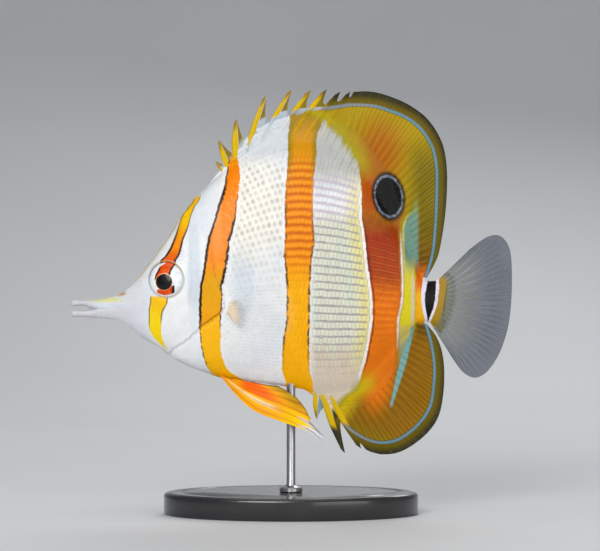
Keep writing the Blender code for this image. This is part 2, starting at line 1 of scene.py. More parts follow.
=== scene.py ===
"""Looks of the copperband butterflyfish and its stand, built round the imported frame.

The fish's own frame is in millimetres: x runs back from the snout tip, y to its right side and z up
from the body axis. One function, side_out, tells how far the skin stands out at any (x, z), and the
skin and the rings round the eyes follow it. The scales are laid on the skin. The markings are one
shader group on Object coordinates, which skin, scales, rings and fins share.
"""

import math

import bmesh
import bpy
import numpy as np
from mathutils import Matrix, Vector

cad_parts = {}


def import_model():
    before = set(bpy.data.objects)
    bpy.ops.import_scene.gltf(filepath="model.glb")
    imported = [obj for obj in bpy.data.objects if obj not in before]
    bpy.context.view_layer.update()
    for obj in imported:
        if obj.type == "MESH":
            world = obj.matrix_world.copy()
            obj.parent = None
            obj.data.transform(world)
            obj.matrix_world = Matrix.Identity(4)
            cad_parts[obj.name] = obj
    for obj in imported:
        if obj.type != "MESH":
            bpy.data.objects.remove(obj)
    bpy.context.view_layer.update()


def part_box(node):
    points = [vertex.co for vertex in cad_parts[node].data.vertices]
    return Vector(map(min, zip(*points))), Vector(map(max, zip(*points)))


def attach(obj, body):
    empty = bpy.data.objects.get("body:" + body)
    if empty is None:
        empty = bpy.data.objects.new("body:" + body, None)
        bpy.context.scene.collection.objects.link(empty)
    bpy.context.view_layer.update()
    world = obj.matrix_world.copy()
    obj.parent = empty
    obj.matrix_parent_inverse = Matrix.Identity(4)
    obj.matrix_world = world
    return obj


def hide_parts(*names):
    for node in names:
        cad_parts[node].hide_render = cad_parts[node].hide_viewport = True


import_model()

MM = 0.001
LENGTH, AXIS_HEIGHT = 160, 74.5
SIDES = (("left", -1), ("right", 1))

# Outlines of the body without its fins, as (x, z)
BACK = (
    (9.4, 2.9), (14.5, 4), (18.8, 6.2), (23.2, 9.4), (27.5, 14.5), (31.9, 20.3), (36.2, 26.6),
    (40.5, 34), (44.9, 39.5), (49.2, 43.6), (55, 48.9), (61.5, 54.2), (69.5, 58.6), (78.9, 60.8),
    (88.7, 60.1), (97.7, 55.7), (105.7, 47.8), (112.9, 37.3), (119.5, 24.6), (124.2, 15.2),
    (128.1, 9.6), (132.6, 10), (137.6, 13.2),
)
BELLY = (
    (9.4, -3.6), (14.5, -4), (18.8, -5.4), (23.2, -8.3), (27.5, -11.6), (31.9, -13.9), (36.2, -17.4),
    (42.7, -21), (49.2, -23.5), (55, -25.3), (63.3, -26.4), (72.8, -27.6), (83.3, -29.2),
    (89.1, -30.6), (96, -31.2), (103, -28.4), (109.3, -22.8), (116.6, -14.6), (122.4, -8.6),
    (127, -4.9), (130.2, -5.2), (134.2, -9.6), (137.6, -15),
)
HALF_WIDTH = (
    (9.4, 2.1), (14.5, 2.6), (20, 3.6), (26, 5.2), (32, 7.1), (38, 8.4), (45, 9.4),
    (52, 10), (60, 10.3), (70, 10.3), (80, 9.8), (90, 8.8), (100, 7.4), (110, 5.8),
    (118, 4.5), (124, 3.7), (129, 3), (133, 1.9), (137.6, 0.5),
)
# 1 gives an oval section, more gives one that is narrower towards the back and belly
SECTION_SHAPE = ((9.4, 0.9), (45, 1), (66, 1.3), (112, 1.3), (126, 1), (137.6, 1))
# The scaly sheath up the fin bases: its half thickness at the body and how far it reaches out
BACK_SHEATH = ((50, 0), (59, 1), (118, 0.95), (125, 0.6), (128, 0.15), (137.6, 0.15))
BACK_REACH = (
    (50, 0), (56, 1.6), (64, 5), (76, 8.2), (98, 9), (110, 7.5), (120, 4.6),
    (126, 1.6), (128.5, 0),
)
BELLY_SHEATH = ((84, 0), (92, 1), (118, 0.95), (125, 0.6), (128, 0.15), (137.6, 0.15))
BELLY_REACH = (
    (85, 0), (90, 2), (97, 5.5), (106, 6.5), (116, 5.5), (123, 2.6), (127, 0.4),
    (128.5, 0),
)
SHEATH_EDGE = 0.12
# How deep the skin lies under the body's own surface, to leave room for the scales
COAT_DEPTH = 0.16

# The jaws, as (x, top, bottom, half width)
UPPER_JAW = (
    (0.05, 1.9, 1.6, 0.1), (0.5, 2.6, 0.9, 0.9), (1.6, 2.95, 0.55, 1.4), (3.2, 2.75, 0.8, 1.35),
    (5.4, 2.8, 0.75, 1.45), (7.2, 2.85, -0.1, 1.8), (9.4, 2.9, -0.15, 2.05), (14, 3.9, -0.3, 2.5),
)
LOWER_JAW = (
    (0.05, -1.85, -2.2, 0.1), (0.5, -1, -3, 1), (1.6, -0.6, -3.4, 1.5), (3.2, -0.75, -3.2, 1.4),
    (5.4, -0.7, -3.3, 1.5), (7.2, -0.5, -3.45, 1.8), (9.4, -0.48, -3.6, 2.05), (14, -0.5, -4, 2.5),
)
# The corner of the mouth, and where the jaws' sections have run into the head's
MOUTH_END, JAWS_END = 7, 10.6

# The free edge of the gill cover, as (z, x), and a faint ridge ahead of it
GILL_EDGE = (
    (-21, 34), (-15, 37), (-12, 41.5), (-7, 47.2), (-4, 51.5), (0, 55.4), (5, 55.2),
    (10, 53.2), (18, 51.4), (34, 52.6), (49, 55.4), (70, 60),
)
CHEEK_RIDGE = ((-14, 35), (-11, 38), (-6, 41.2), (0, 43), (10, 43.6), (26, 43.4))

EYE = (35.1, 10.3)
EYE_RADIUS, EYE_THICKNESS, EYE_SINK = 6.7, 4.2, 2.4
# The skin's socket: its depth, and where its wall starts and ends round the eye's centre
SOCKET_DEPTH, SOCKET_WALL = 3.2, (5, 6.9)
# Each nostril as (x, z, radius)
NOSTRILS = ((25.1, 7.9, 0.5), (25.9, 9.8, 0.4))

# Soft fins: the outer edge, the stretch of back or belly that carries them, and their rays
DORSAL_EDGE = (
    (102.6, 78.2), (108, 78.4), (113.1, 77.5), (119.5, 75.1), (124.6, 72.3), (129.2, 68.6),
    (133, 63.3), (135.4, 57.5), (136.4, 50), (136.4, 42), (135.8, 33.7), (134.6, 25.3),
    (132.9, 18), (129.2, 10.9),
)
DORSAL_BASE, DORSAL_RAYS = (96.8, 126.4), 28
ANAL_EDGE = (
    (107, -51.2), (109.5, -52.3), (113.3, -53), (118.4, -52.4), (123.8, -49.8), (129.4, -45.2),
    (133.2, -39.6), (135, -32.2), (135.5, -23), (134.6, -15.6), (132.4, -10), (129, -5.6),
)
ANAL_BASE, ANAL_RAYS = (96.4, 126.6), 20
# The blue line inside the rim of each soft fin
DORSAL_LINE = (
    (86, 70.2), (91.5, 71.9), (97.7, 72.9), (101.8, 73.5), (107.8, 73.3), (111.8, 72.7), (116.6, 71.1),
    (120.3, 69.7), (123.9, 67.5), (127.1, 64.6), (129.9, 60.6), (131.7, 56.6), (132.7, 50.6),
    (132.8, 44.5), (132.7, 39.3), (132.3, 30), (131.2, 19.6), (128.5, 10.1),
)
ANAL_LINE = (
    (98.8, -41), (101, -43.4), (104.5, -46), (109, -48.1), (114, -48.7), (119.5, -47.2),
    (125.8, -42.4), (130.3, -35.6), (131.7, -27.4), (131.9, -20.6), (130.8, -13), (129, -6.6),
    (127.8, -3.6),
)
TAIL_ROOT = ((133.3, 10.2), (133.9, 6), (133.2, 1.6), (132, -2), (130.3, -5.1))
TAIL_EDGE = (
    (144.8, 21.4), (150.4, 25.4), (154.6, 26.4), (157.6, 24.4), (159.4, 20.2), (160, 12),
    (159.7, 2), (158.4, -7.6), (155.4, -16.4), (151.6, -22.4), (148, -25), (144.9, -24.9),
    (141.6, -22.6), (138.3, -18),
)
TAIL_RAYS = 17

# Spines: where each leaves the body, its tip, and the share of its leading edge that the membrane
# ahead of it reaches up
DORSAL_SPINES = (
    (55.4, (52.7, 53.4), 0),
    (57.4, (53.9, 61.2), 0.16),
    (60.4, (60.3, 68.6), 0.22),
    (64.2, (71.2, 77.1), 0.16),
    (69, (80.3, 79), 0.36),
    (74.4, (87.3, 78.9), 0.52),
    (79.8, (93, 79.1), 0.62),
    (84.6, (97.9, 78.3), 0.75),
    (89.6, (101.5, 78.3), 0.87),
)
ANAL_SPINES = (
    (88.9, (89.5, -40.4), 0),
    (91.5, (99.6, -52.6), 0.25),
    (94.3, (105.4, -50.9), 0.52),
)
# A spine's blade: half its length at the root, the slant of its tip, its bow, and the length of
# spine from which it has its full size
BLADE, BLADE_TIP, BLADE_BOW, FULL_SPINE = 1.15, 2, 0.7, 14

# Pelvic fins: each ray from its root out, then the notch of the membrane behind it
PELVIC_RAYS = (
    ((55, -25), (60.5, -31.5), (67, -37), (77, -40.9), (86.3, -44.4), (91.4, -48.8)),
    ((56, -25.2), (62, -30.6), (68.6, -35.2), (78, -38.8), (87, -42.4), (92.3, -47.1)),
    ((57.2, -25.6), (63.2, -29.8), (70, -33.2), (77.5, -36), (82.5, -38), (87, -40.2)),
    ((58.4, -25.9), (64.2, -29), (70, -31.2), (76, -33), (81, -34.8), (85.4, -36.9)),
    ((59.6, -26.1), (65, -28.1), (70, -29.6), (74.5, -30.5), (78.5, -31.3), (82, -32.6)),
    ((61, -26.2), (64.5, -27), (68, -27.8), (70.8, -28.3), (73.4, -28.6), (76, -28.9)),
)
PELVIC_NOTCHES = ((86.2, -43.3), (86.5, -41.2), (86, -38.5), (83.6, -34.5), (79.3, -30.5))
PELVIC_TRAILING = ((61.8, -26), (65, -26.7), (68.4, -27.4), (71, -27.9), (73.6, -28.2), (75.6, -28.5))
PELVIC_ROOT_HEIGHT, PELVIC_ROOT_OFFSET, PELVIC_SPLAY = -25, 2.5, math.radians(13)

# Pectoral fins: the root and the outer edge, seen from the side before the fin leans out
PECTORAL_ROOT = ((57.4, 1.6), (58.3, -1.2), (59.4, -4))
PECTORAL_EDGE = (
    (75, 9.6), (80.6, 7.4), (83.2, 2.6), (83.6, -3.2), (81.4, -9.6), (76.6, -14.4), (69.6, -15.8),
)
PECTORAL_RAYS, PECTORAL_SPREAD = 13, math.radians(24)


def world(x, y, z):
    x, y, z = np.broadcast_arrays(x, y, z)
    return np.stack((x - LENGTH / 2, y, z + AXIS_HEIGHT), axis=-1) * MM


def circle(steps):
    """Angles round a full turn."""
    return np.linspace(0, 2 * math.pi, steps, endpoint=False)


def rise(low, high, x):
    """0 below low, 1 above high and smooth between."""
    t = np.clip((x - low) / (high - low), 0, 1)
    return t * t * (3 - 2 * t)


def bump(x, middle, width):
    return np.exp(-(((x - middle) / width) ** 2))


def level(table, x):
    """The smooth value of a table at x, without overshoot between its points."""
    xs, ys = (np.array(column, float) for column in zip(*table))
    slopes = np.diff(ys) / np.diff(xs)
    both = slopes[:-1] * slopes[1:]
    total = slopes[:-1] + slopes[1:]
    inner = np.where(both > 0, 2 * both / np.where(both > 0, total, 1), 0)
    tangents = np.concatenate((slopes[:1], inner, slopes[-1:]))
    x = np.clip(np.asarray(x, float), xs[0], xs[-1])
    k = np.clip(np.searchsorted(xs, x, side="right") - 1, 0, len(xs) - 2)
    width = xs[k + 1] - xs[k]
    t = (x - xs[k]) / width
    return (
        (2 * t**3 - 3 * t**2 + 1) * ys[k]
        + (t**3 - 2 * t**2 + t) * width * tangents[k]
        + (3 * t**2 - 2 * t**3) * ys[k + 1]
        + (t**3 - t**2) * width * tangents[k + 1]
    )


def lean(table, x):
    """The cosine of a contour's slope, which turns a height over it into a distance from it."""
    slope = (level(table, x + 0.3) - level(table, x - 0.3)) / 0.6
    return 1 / np.sqrt(1 + slope**2)


class Path:
    """A smooth line through a few points, read by its share of length."""

    def __init__(self, points, steps=12):
        points = np.array(points, float)
        ends = np.vstack((2 * points[0] - points[1], points, 2 * points[-1] - points[-2]))
        t = np.arange(1, steps + 1)[:, None] / steps
        parts = [points[:1]]
        for a, b, c, d in zip(ends, ends[1:], ends[2:], ends[3:]):
            parts.append(0.5 * (
                2 * b + (c - a) * t + (2 * a - 5 * b + 4 * c - d) * t**2
                + (3 * b - a - 3 * c + d) * t**3
            ))
        self.line = np.vstack(parts)
        self.lengths = np.concatenate(([0], np.cumsum(np.linalg.norm(np.diff(self.line, axis=0), axis=1))))

    def at(self, shares):
        target = np.clip(shares, 0, 1) * self.lengths[-1]
        return np.stack([np.interp(target, self.lengths, column) for column in self.line.T], axis=-1)


# The body's side


def flesh(x, z):
    """Half width of the body without its sheaths, relief and eyes."""
    top, low = level(BACK, x), level(BELLY, x)
    share = np.clip((z - low) / (top - low), 0, 1)
    return level(HALF_WIDTH, x) * (2 * np.sqrt(share * (1 - share))) ** level(SECTION_SHAPE, x)


def depth_inside(x, z):
    """How far a point lies inside the back and inside the belly contour, negative beyond them."""
    return (level(BACK, x) - z) * lean(BACK, x), (z - level(BELLY, x)) * lean(BELLY, x)


def sheath(x, z):
    """Half thickness of the scaly sheath that carries on from the body up the fin bases."""
    out = 0
    tables = ((BACK_SHEATH, BACK_REACH), (BELLY_SHEATH, BELLY_REACH))
    for inside, (base, reach) in zip(depth_inside(x, z), tables):
        share = np.clip(-inside / np.maximum(level(reach, x), 0.01), 0, 1)
        thick = SHEATH_EDGE + (level(base, x) - SHEATH_EDGE) * (0.5 + 0.5 * np.cos(math.pi * share))
        out = np.maximum(out, np.maximum(thick, 0) * (1 - rise(2, 14, inside)))
    return out


def from_column(table, k, x):
    """The smooth value at x of a table's column k."""
    return level([(row[0], row[k]) for row in table], x)


def jaw_side(table, x, z):
    top, low, half = (from_column(table, k, x) for k in (1, 2, 3))
    offset = (z - (top + low) / 2) / ((top - low) / 2)
    return half * np.sqrt(np.clip(1 - offset**2, 0, 1))


def past_gill(x, z):
    """How far behind the gill cover's free edge a point is."""
    slope = level(GILL_EDGE, z + 0.5) - level(GILL_EDGE, z - 0.5)
    return (x - level(GILL_EDGE, z)) / np.sqrt(1 + slope**2)


def from_eye(x, z):
    return np.hypot(x - EYE[0], z - EYE[1])


def face_relief(x, z):
    """The gill cover's raised edge, the cheek, the brow and the crease behind the mouth."""
    past = past_gill(x, z)
    cover = rise(-26, -20, z) * (1 - rise(15, 22, z))
    plate = 0.55 * (1 - rise(-0.3, 0.35, past)) * bump(past, 0, 9) - 0.28 * bump(past, 0.7, 0.6)
    behind = x - level(CHEEK_RIDGE, z)
    ridge = 0.22 * (1 - rise(-0.5, 0.4, behind)) * bump(behind, 0, 6)
    ridge = ridge * rise(-12, -7, z) * (1 - rise(22, 28, z))
    brow = 0.35 * bump(from_eye(x, z), 8.2, 2.4)
    crease = -0.5 * bump(z, -0.35, 0.4) * (1 - rise(8, 15, x))
    muzzle = -0.18 * bump(z, 1.2 + 0.16 * (x - 12), 0.9) * rise(10, 14, x) * (1 - rise(20, 27, x))
    return cover * plate + ridge + brow * rise(24, 29, x) + crease + muzzle


def side_out(x, z, socket=True):
    """How far the skin's side stands out from the fish's middle plane."""
    smooth = np.sqrt(flesh(x, z) ** 2 + sheath(x, z) ** 2)
    body = smooth + (face_relief(x, z) - COAT_DEPTH) * rise(0.4, 2.4, smooth)
    if socket:
        body = body - SOCKET_DEPTH * (1 - rise(*SOCKET_WALL, from_eye(x, z)))
    jaws = np.maximum(jaw_side(UPPER_JAW, x, z), jaw_side(LOWER_JAW, x, z))
    return np.maximum(jaws + (body - jaws) * rise(MOUTH_END, JAWS_END, x), 0)


# Meshes


def in_scene(name, data):
    """An object of a mesh, lamp or camera, in the scene."""
    made = bpy.data.objects.new(name, data)
    bpy.context.scene.collection.objects.link(made)
    return made


def as_object(name, verts, faces, finish):
    """A smooth-shaded mesh object from points and faces."""
    mesh = bpy.data.meshes.new(name)
    faces = faces if isinstance(faces, list) else faces.tolist()
    mesh.from_pydata(np.asarray(verts).tolist(), [], faces)
    made = in_scene(name, mesh)
    mesh.materials.append(finish)
    mesh.shade_smooth()
    return made


def numbers(mesh, name, values, kind="FLOAT"):
    """Stores a value or vector for each vertex."""
    attribute = mesh.attributes.new(name, kind, "POINT")
    key = "value" if kind == "FLOAT" else "vector"
    attribute.data.foreach_set(key, np.ascontiguousarray(values, np.float32).ravel())


def merged(made, distance=1e-6):
    """Joins points at one place and turns every face outwards."""
    bm = bmesh.new()
    bm.from_mesh(made.data)
    bmesh.ops.remove_doubles(bm, verts=bm.verts, dist=distance)
    bmesh.ops.dissolve_degenerate(bm, edges=bm.edges, dist=distance)
    bmesh.ops.recalc_face_normals(bm, faces=bm.faces)
    bm.to_mesh(made.data)
    bm.free()
    return made


def indexed(rows, columns, ring=False):
    """The numbers of a grid of points; in a ring the last column is the first again."""
    index = np.arange(rows * columns).reshape(rows, columns)
    return np.concatenate((index, index[:, :1]), axis=1) if ring else index


def quads(index, flip=False, keep=None):
    """The faces of a grid of point numbers."""
    faces = np.stack((index[:-1, :-1], index[:-1, 1:], index[1:, 1:], index[1:, :-1]), axis=-1)
    if keep is not None:
        faces = faces[keep]
    faces = faces.reshape(-1, 4)
    return faces[:, ::-1] if flip else faces


def strip(a, b):
    """Faces between two lines of points."""
    return np.stack((a[:-1], b[:-1], b[1:], a[1:]), axis=-1)


def unwrapped(mesh, name, places):
    """A UV map from a place for each vertex."""
    loops = np.empty(len(mesh.loops), np.int32)
    mesh.loops.foreach_get("vertex_index", loops)
    mesh.uv_layers.new(name=name).data.foreach_set("uv", places[loops].astype(np.float32).ravel())


# The skin as a grid of stations along the fish and rows up its side

TAIL_END = 135.4
ROWS, GAP_ROWS = 118, 2
# Stations along the fish: close together at the tip, in steps along the snout, then evenly on
TIP_START, TIP_LENGTH, TIP_STATIONS = 0.05, 1.55, 15
SNOUT_START, SNOUT_END, SNOUT_STEP = 1.6, 12, 0.42
BODY_STATIONS = 282


def station_grid():
    tip = TIP_START + TIP_LENGTH * (1 - np.cos(np.linspace(0, math.pi / 2, TIP_STATIONS)))[:-1]
    snout = np.arange(SNOUT_START, SNOUT_END, SNOUT_STEP)
    stations = np.concatenate((tip, snout, np.linspace(SNOUT_END, TAIL_END, BODY_STATIONS)))
    s = stations[:, None]
    slant = rise(121, TAIL_END, s)
    low_x, top_x = s - 1.7 * slant, s + 1.9 * slant
    low = level(BELLY, low_x) - level(BELLY_REACH, low_x) / lean(BELLY, low_x)
    top = level(BACK, top_x) + level(BACK_REACH, top_x) / lean(BACK, top_x)

    v = np.linspace(-1, 1, ROWS + 1)[None, :]
    middle, half = (low + top) / 2, (top - low) / 2
    even_top, even_low = rise(50, 62, s), rise(84, 92, s)
    even = np.where(v > 0, even_top, even_low)
    body_z = middle + half * ((1 - even) * np.sin(v * math.pi / 2) + even * v)

    gap_v = 2 * GAP_ROWS / ROWS
    upper, lower = ([from_column(jaw, k, s) for k in (1, 2)] for jaw in (UPPER_JAW, LOWER_JAW))
    around = 0.5 - 0.5 * np.cos(math.pi * np.clip((np.abs(v) - gap_v) / (1 - gap_v), 0, 1))
    above = upper[1] + (upper[0] - upper[1]) * around
    below = lower[0] + (lower[1] - lower[0]) * around
    across = lower[0] + (upper[1] - lower[0]) * (v / gap_v * 0.5 + 0.5)
    jaw_z = np.where(v > gap_v, above, np.where(v < -gap_v, below, across))

    z = jaw_z + (body_z - jaw_z) * rise(9, 26, s)
    x = low_x + (top_x - low_x) * (z - low) / (top - low)
    x = np.where(s < SNOUT_END, s + 0 * v, x)
    return stations, x, z, np.abs(v) < gap_v - 1e-6


# The left side on the baking map: its margin, length and height, and how far above it the right
# side lies
UNWRAP_EDGE, UNWRAP_LONG, UNWRAP_HIGH, RIGHT_SHIFT = 0.02, 0.96, 0.46, 0.5


def unwrap_place(along, share):
    """Where a place on the left side lies on the baking map, from its shares along and up."""
    return np.stack((UNWRAP_EDGE + UNWRAP_LONG * along, UNWRAP_EDGE + UNWRAP_HIGH * share), axis=-1)


def make_skin(finish):
    """One skin from the jaws to the root of the tail, with the sheaths of the fins."""
    stations, x, z, gap = station_grid()
    count, rows = x.shape
    out = side_out(x, z)
    out[0] = 0
    left, right = world(x, -out, z), world(x, out, z)
    keep = ~((stations[:-1, None] < MOUTH_END) & (gap[:, :-1] | gap[:, 1:]))
    index = indexed(count, rows)
    other = index + index.size
    faces = [
        quads(index, keep=keep), quads(other, flip=True, keep=keep),
        strip(index[:, 0], other[:, 0]), strip(other[:, -1], index[:, -1]), strip(other[-1], index[-1]),
    ]
    verts = np.concatenate((left.reshape(-1, 3), right.reshape(-1, 3)))
    skin = as_object("fish_skin", verts, np.concatenate(faces), finish)

    near = unwrap_place(np.linspace(0, 1, count)[:, None] + 0 * x, np.linspace(0, 1, rows)[None, :] + 0 * x)
    near = near.reshape(-1, 2)
    unwrapped(skin.data, "OFBake", np.concatenate((near, near + (0, RIGHT_SHIFT))))
    merged(skin)

    normals = np.cross(np.gradient(left, axis=0), np.gradient(left, axis=1))
    normals /= np.maximum(np.linalg.norm(normals, axis=-1, keepdims=True), 1e-12)
    girth = np.cumsum(np.linalg.norm(np.diff(left, axis=1, prepend=left[:, :1]), axis=-1), axis=1) / MM
    for k in range(count):
        girth[k] -= np.interp(0, z[k], girth[k])
    grid = {"stations": stations, "points": left, "normals": normals, "girth": girth}
    return skin, grid


def on_skin(grid, station, girth):
    """Points and outward normals of the left side at stations along and distances round the body."""
    count, rows = grid["girth"].shape
    position = np.interp(station, grid["stations"], np.arange(count))
    first = np.clip(position.astype(int), 0, count - 2)
    share = (position - first)[:, None]
    steps = np.arange(rows)
    found = []
    for shift in (0, 1):
        row = np.array([np.interp(g, grid["girth"][k + shift], steps) for k, g in zip(first, girth)])
        low = np.clip(row.astype(int), 0, rows - 2)
        part = (row - low)[:, None]
        found.append([
            (1 - part) * grid[key][first + shift, low] + part * grid[key][first + shift, low + 1]
            for key in ("points", "normals")
        ] + [row / (rows - 1)])
    place = (1 - share) * found[0][0] + share * found[1][0]
    normal = (1 - share) * found[0][1] + share * found[1][1]
    normal /= np.linalg.norm(normal, axis=1, keepdims=True)
    inside = (girth > grid["girth"][first, 0] + 0.3) & (girth < grid["girth"][first, -1] - 0.3)
    return place, normal, unwrap_place(position / (count - 1), found[0][2]), inside


# Scales

# A scale's plate: how square its corners are, the ripple of its free edge, and the height of its
# root, its rise to the free edge, its arch across and the drop of its rim
PLATE_CORNERS, PLATE_RIPPLE = 0.3, 0.018
PLATE_ROOT, PLATE_RISE, PLATE_ARCH, PLATE_RIM = -0.45, 1.15, 0.24, 0.22


def scale_plate(name, cells, ripples):
    """A scale: a thin closed plate from its root at x = 0 to its free edge at x = 1."""
    steps = np.linspace(-1, 1, cells + 1)
    a, b = np.meshgrid(steps, steps, indexing="ij")
    u = (a * np.sqrt(1 - PLATE_CORNERS * b**2) + 1) / 2
    v = b * np.sqrt(1 - PLATE_CORNERS * a**2)
    rim = np.maximum(np.abs(a), np.abs(b)) > 0.999
    angle = np.arctan2(v, 2 * u - 1)
    u = u + np.where(rim & (u > 0.45), PLATE_RIPPLE * np.cos(ripples * angle), 0)
    height = PLATE_ROOT + PLATE_RISE * u - PLATE_ARCH * v**2 - PLATE_RIM * rim
    verts = np.stack((u, v / 2, height), axis=-1).reshape(-1, 3)
    index = indexed(cells + 1, cells + 1)
    ring = np.concatenate((index[0, :], index[1:, -1], index[-1, -2::-1], index[-2:0:-1, 0])).tolist()
    mesh = bpy.data.meshes.new(name)
    mesh.from_pydata(verts.tolist(), [], [*quads(index).tolist(), ring])
    mesh.shade_smooth()
    rim_points = set(ring)
    for edge in mesh.edges:
        edge.use_edge_sharp = all(point in rim_points for point in edge.vertices)
    unwrapped(mesh, "plate", np.stack((u, v / 2 + 0.5), axis=-1).reshape(-1, 2))
    return bpy.data.objects.new(name, mesh)


def declare(tree, way, kinds):
    """Gives a node group its inputs or outputs, by name and kind."""
    for name, kind in kinds.items():
        tree.interface.new_socket(name=name, in_out=way, socket_type=f"NodeSocket{kind}")


def scale_coat_tree():
    """Lays a plate on every root, turned by its outward and backward vectors, with its baking patch."""
    tree = bpy.data.node_groups.new("scale coat", "GeometryNodeTree")
    declare(tree, "INPUT", {
        "Roots": "Geometry", "Plate": "Object", "Thickness": "Float", "Patch width": "Float",
        "Finish": "Material",
    })
    declare(tree, "OUTPUT", {"Coat": "Geometry"})
    t = Tree(tree)

    def stored(name):
        made = t.add("GeometryNodeInputNamedAttribute", {"Name": name}, data_type="FLOAT_VECTOR")
        return enabled(made.outputs, "Attribute")

    def vector(operation, first, second):
        return t.add("ShaderNodeVectorMath", {0: first, 1: second}, operation=operation).outputs[0]

    inputs = t.add("NodeGroupInput").outputs
    turn = t.add("FunctionNodeAxesToRotation", {
        "Primary Axis": stored("outward"), "Secondary Axis": stored("backward"),
    }, primary_axis="Z", secondary_axis="X")
    plate = t.add("GeometryNodeObjectInfo", {"Object": inputs["Plate"]})
    thick = t.add("ShaderNodeCombineXYZ", {"X": 1, "Y": 1, "Z": inputs["Thickness"]})
    laid = t.add("GeometryNodeInstanceOnPoints", {
        "Points": inputs["Roots"], "Instance": plate.outputs["Geometry"], "Rotation": turn.outputs[0],
        "Scale": vector("MULTIPLY", stored("size"), thick.outputs[0]),
    })
    whole = t.add("GeometryNodeRealizeInstances", {"Geometry": laid.outputs[0]})
    centred = vector("SUBTRACT", stored("plate"), (0.5, 0.5, 0))
    patch = t.add("ShaderNodeVectorMath", {0: centred, "Scale": inputs["Patch width"]}, operation="SCALE")
    place = vector("ADD", stored("unwrap"), patch.outputs[0])
    baked = t.add("GeometryNodeStoreNamedAttribute", {
        "Geometry": whole.outputs[0], "Name": "OFBake", "Value": place,
    }, data_type="FLOAT2", domain="CORNER")
    painted = t.add("GeometryNodeSetMaterial", {"Geometry": baked.outputs[0], "Material": inputs["Finish"]})
    t.add("NodeGroupOutput", {"Coat": painted.outputs[0]})
    return tree


# Millimetres to one unit of a plate's height, and the width of a scale's patch on the baking map
SCALE_THICKNESS, PATCH_WIDTH = 0.17, 0.003
ROOT_VECTORS = ("outward", "backward", "size", "unwrap")


def lay_scales(tree, name, roots, plate, finish):
    """Runs the coat tree on a mesh of root points and keeps the result as a plain mesh."""
    mesh = bpy.data.meshes.new(name + "_roots")
    mesh.from_pydata(roots["place"].tolist(), [], [])
    for key in ROOT_VECTORS:
        values = roots[key]
        if values.shape[1] == 2:
            values = np.column_stack((values, np.zeros(len(values))))
        numbers(mesh, key, values, "FLOAT_VECTOR")
    numbers(mesh, "root", roots["place"], "FLOAT_VECTOR")
    numbers(mesh, "chance", roots["chance"])
    base = in_scene(name + "_roots", mesh)
    layer = base.modifiers.new("scale coat", "NODES")
    layer.node_group = tree
    values = {"Plate": plate, "Thickness": SCALE_THICKNESS, "Patch width": PATCH_WIDTH, "Finish": finish}
    for item in tree.interface.items_tree:
        if item.name in values:
            layer[item.identifier] = values[item.name]
    depsgraph = bpy.context.evaluated_depsgraph_get()
    depsgraph.update()
    coat = bpy.data.meshes.new_from_object(base.evaluated_get(depsgraph))
    bpy.data.objects.remove(base)
    for key in ROOT_VECTORS:
        coat.attributes.remove(coat.attributes[key])
    return in_scene(name, coat)


# Distances between rows and along a row, for the flank's, the small and the face's scales
FLANK_ROW, FLANK_STEP = 2.85, 1.78
SMALL_ROW, SMALL_STEP = 1.35, 1.12
FACE_ROW, FACE_STEP = 1.05, 0.9
# The stretch of the fish that each kind is laid out on
FLANK_STRETCH, SMALL_STRETCH, FACE_STRETCH = (50, 131), (50, 135), (24, 60)
# A scale's length and width, as shares of those distances
FLANK_OVERLAP, SMALL_OVERLAP, FACE_OVERLAP = (1.9, 1.22), (1.8, 1.3), (1.75, 1.3)
# Rows lie widest apart at one station, draw together over these distances ahead of it and behind
# it, and fall behind it
ROW_MIDDLE, ROW_SPREAD, ROW_FALL = 82, (57, 77), 0.043
# How far round the body rows are laid, below its axis and above it
ROWS_BELOW, ROWS_ABOVE = 60, 95
# A root's random shift as a share of its spacing, the seed of all such chances, and the distance
# that a root keeps from the middle plane on a sheath's rim
JITTER, SEED, RIM_ROOTS = 0.05, 23, 0.55
# How the distance between scales along a row changes along the fish
STEP_SHARE = ((50, 0.85), (60, 1.1), (72, 1.1), (79, 0.95), (86, 0.83), (112, 0.82), (131, 0.66))


def row_scale(x):
    """The distance between rows, as a share of the widest."""
    spread = np.where(x < ROW_MIDDLE, *ROW_SPREAD)
    return np.exp(-(((x - ROW_MIDDLE) / spread) ** 2))


def row_axis(x):
    """How far round the body the middle row lies from the axis."""
    return -ROW_FALL * np.maximum(x - ROW_MIDDLE, 0) ** 1.02


def unit(vectors):
    return vectors / np.maximum(np.linalg.norm(vectors, axis=-1, keepdims=True), 1e-12)


def dot(a, b):
    return np.sum(a * b, axis=1, keepdims=True)


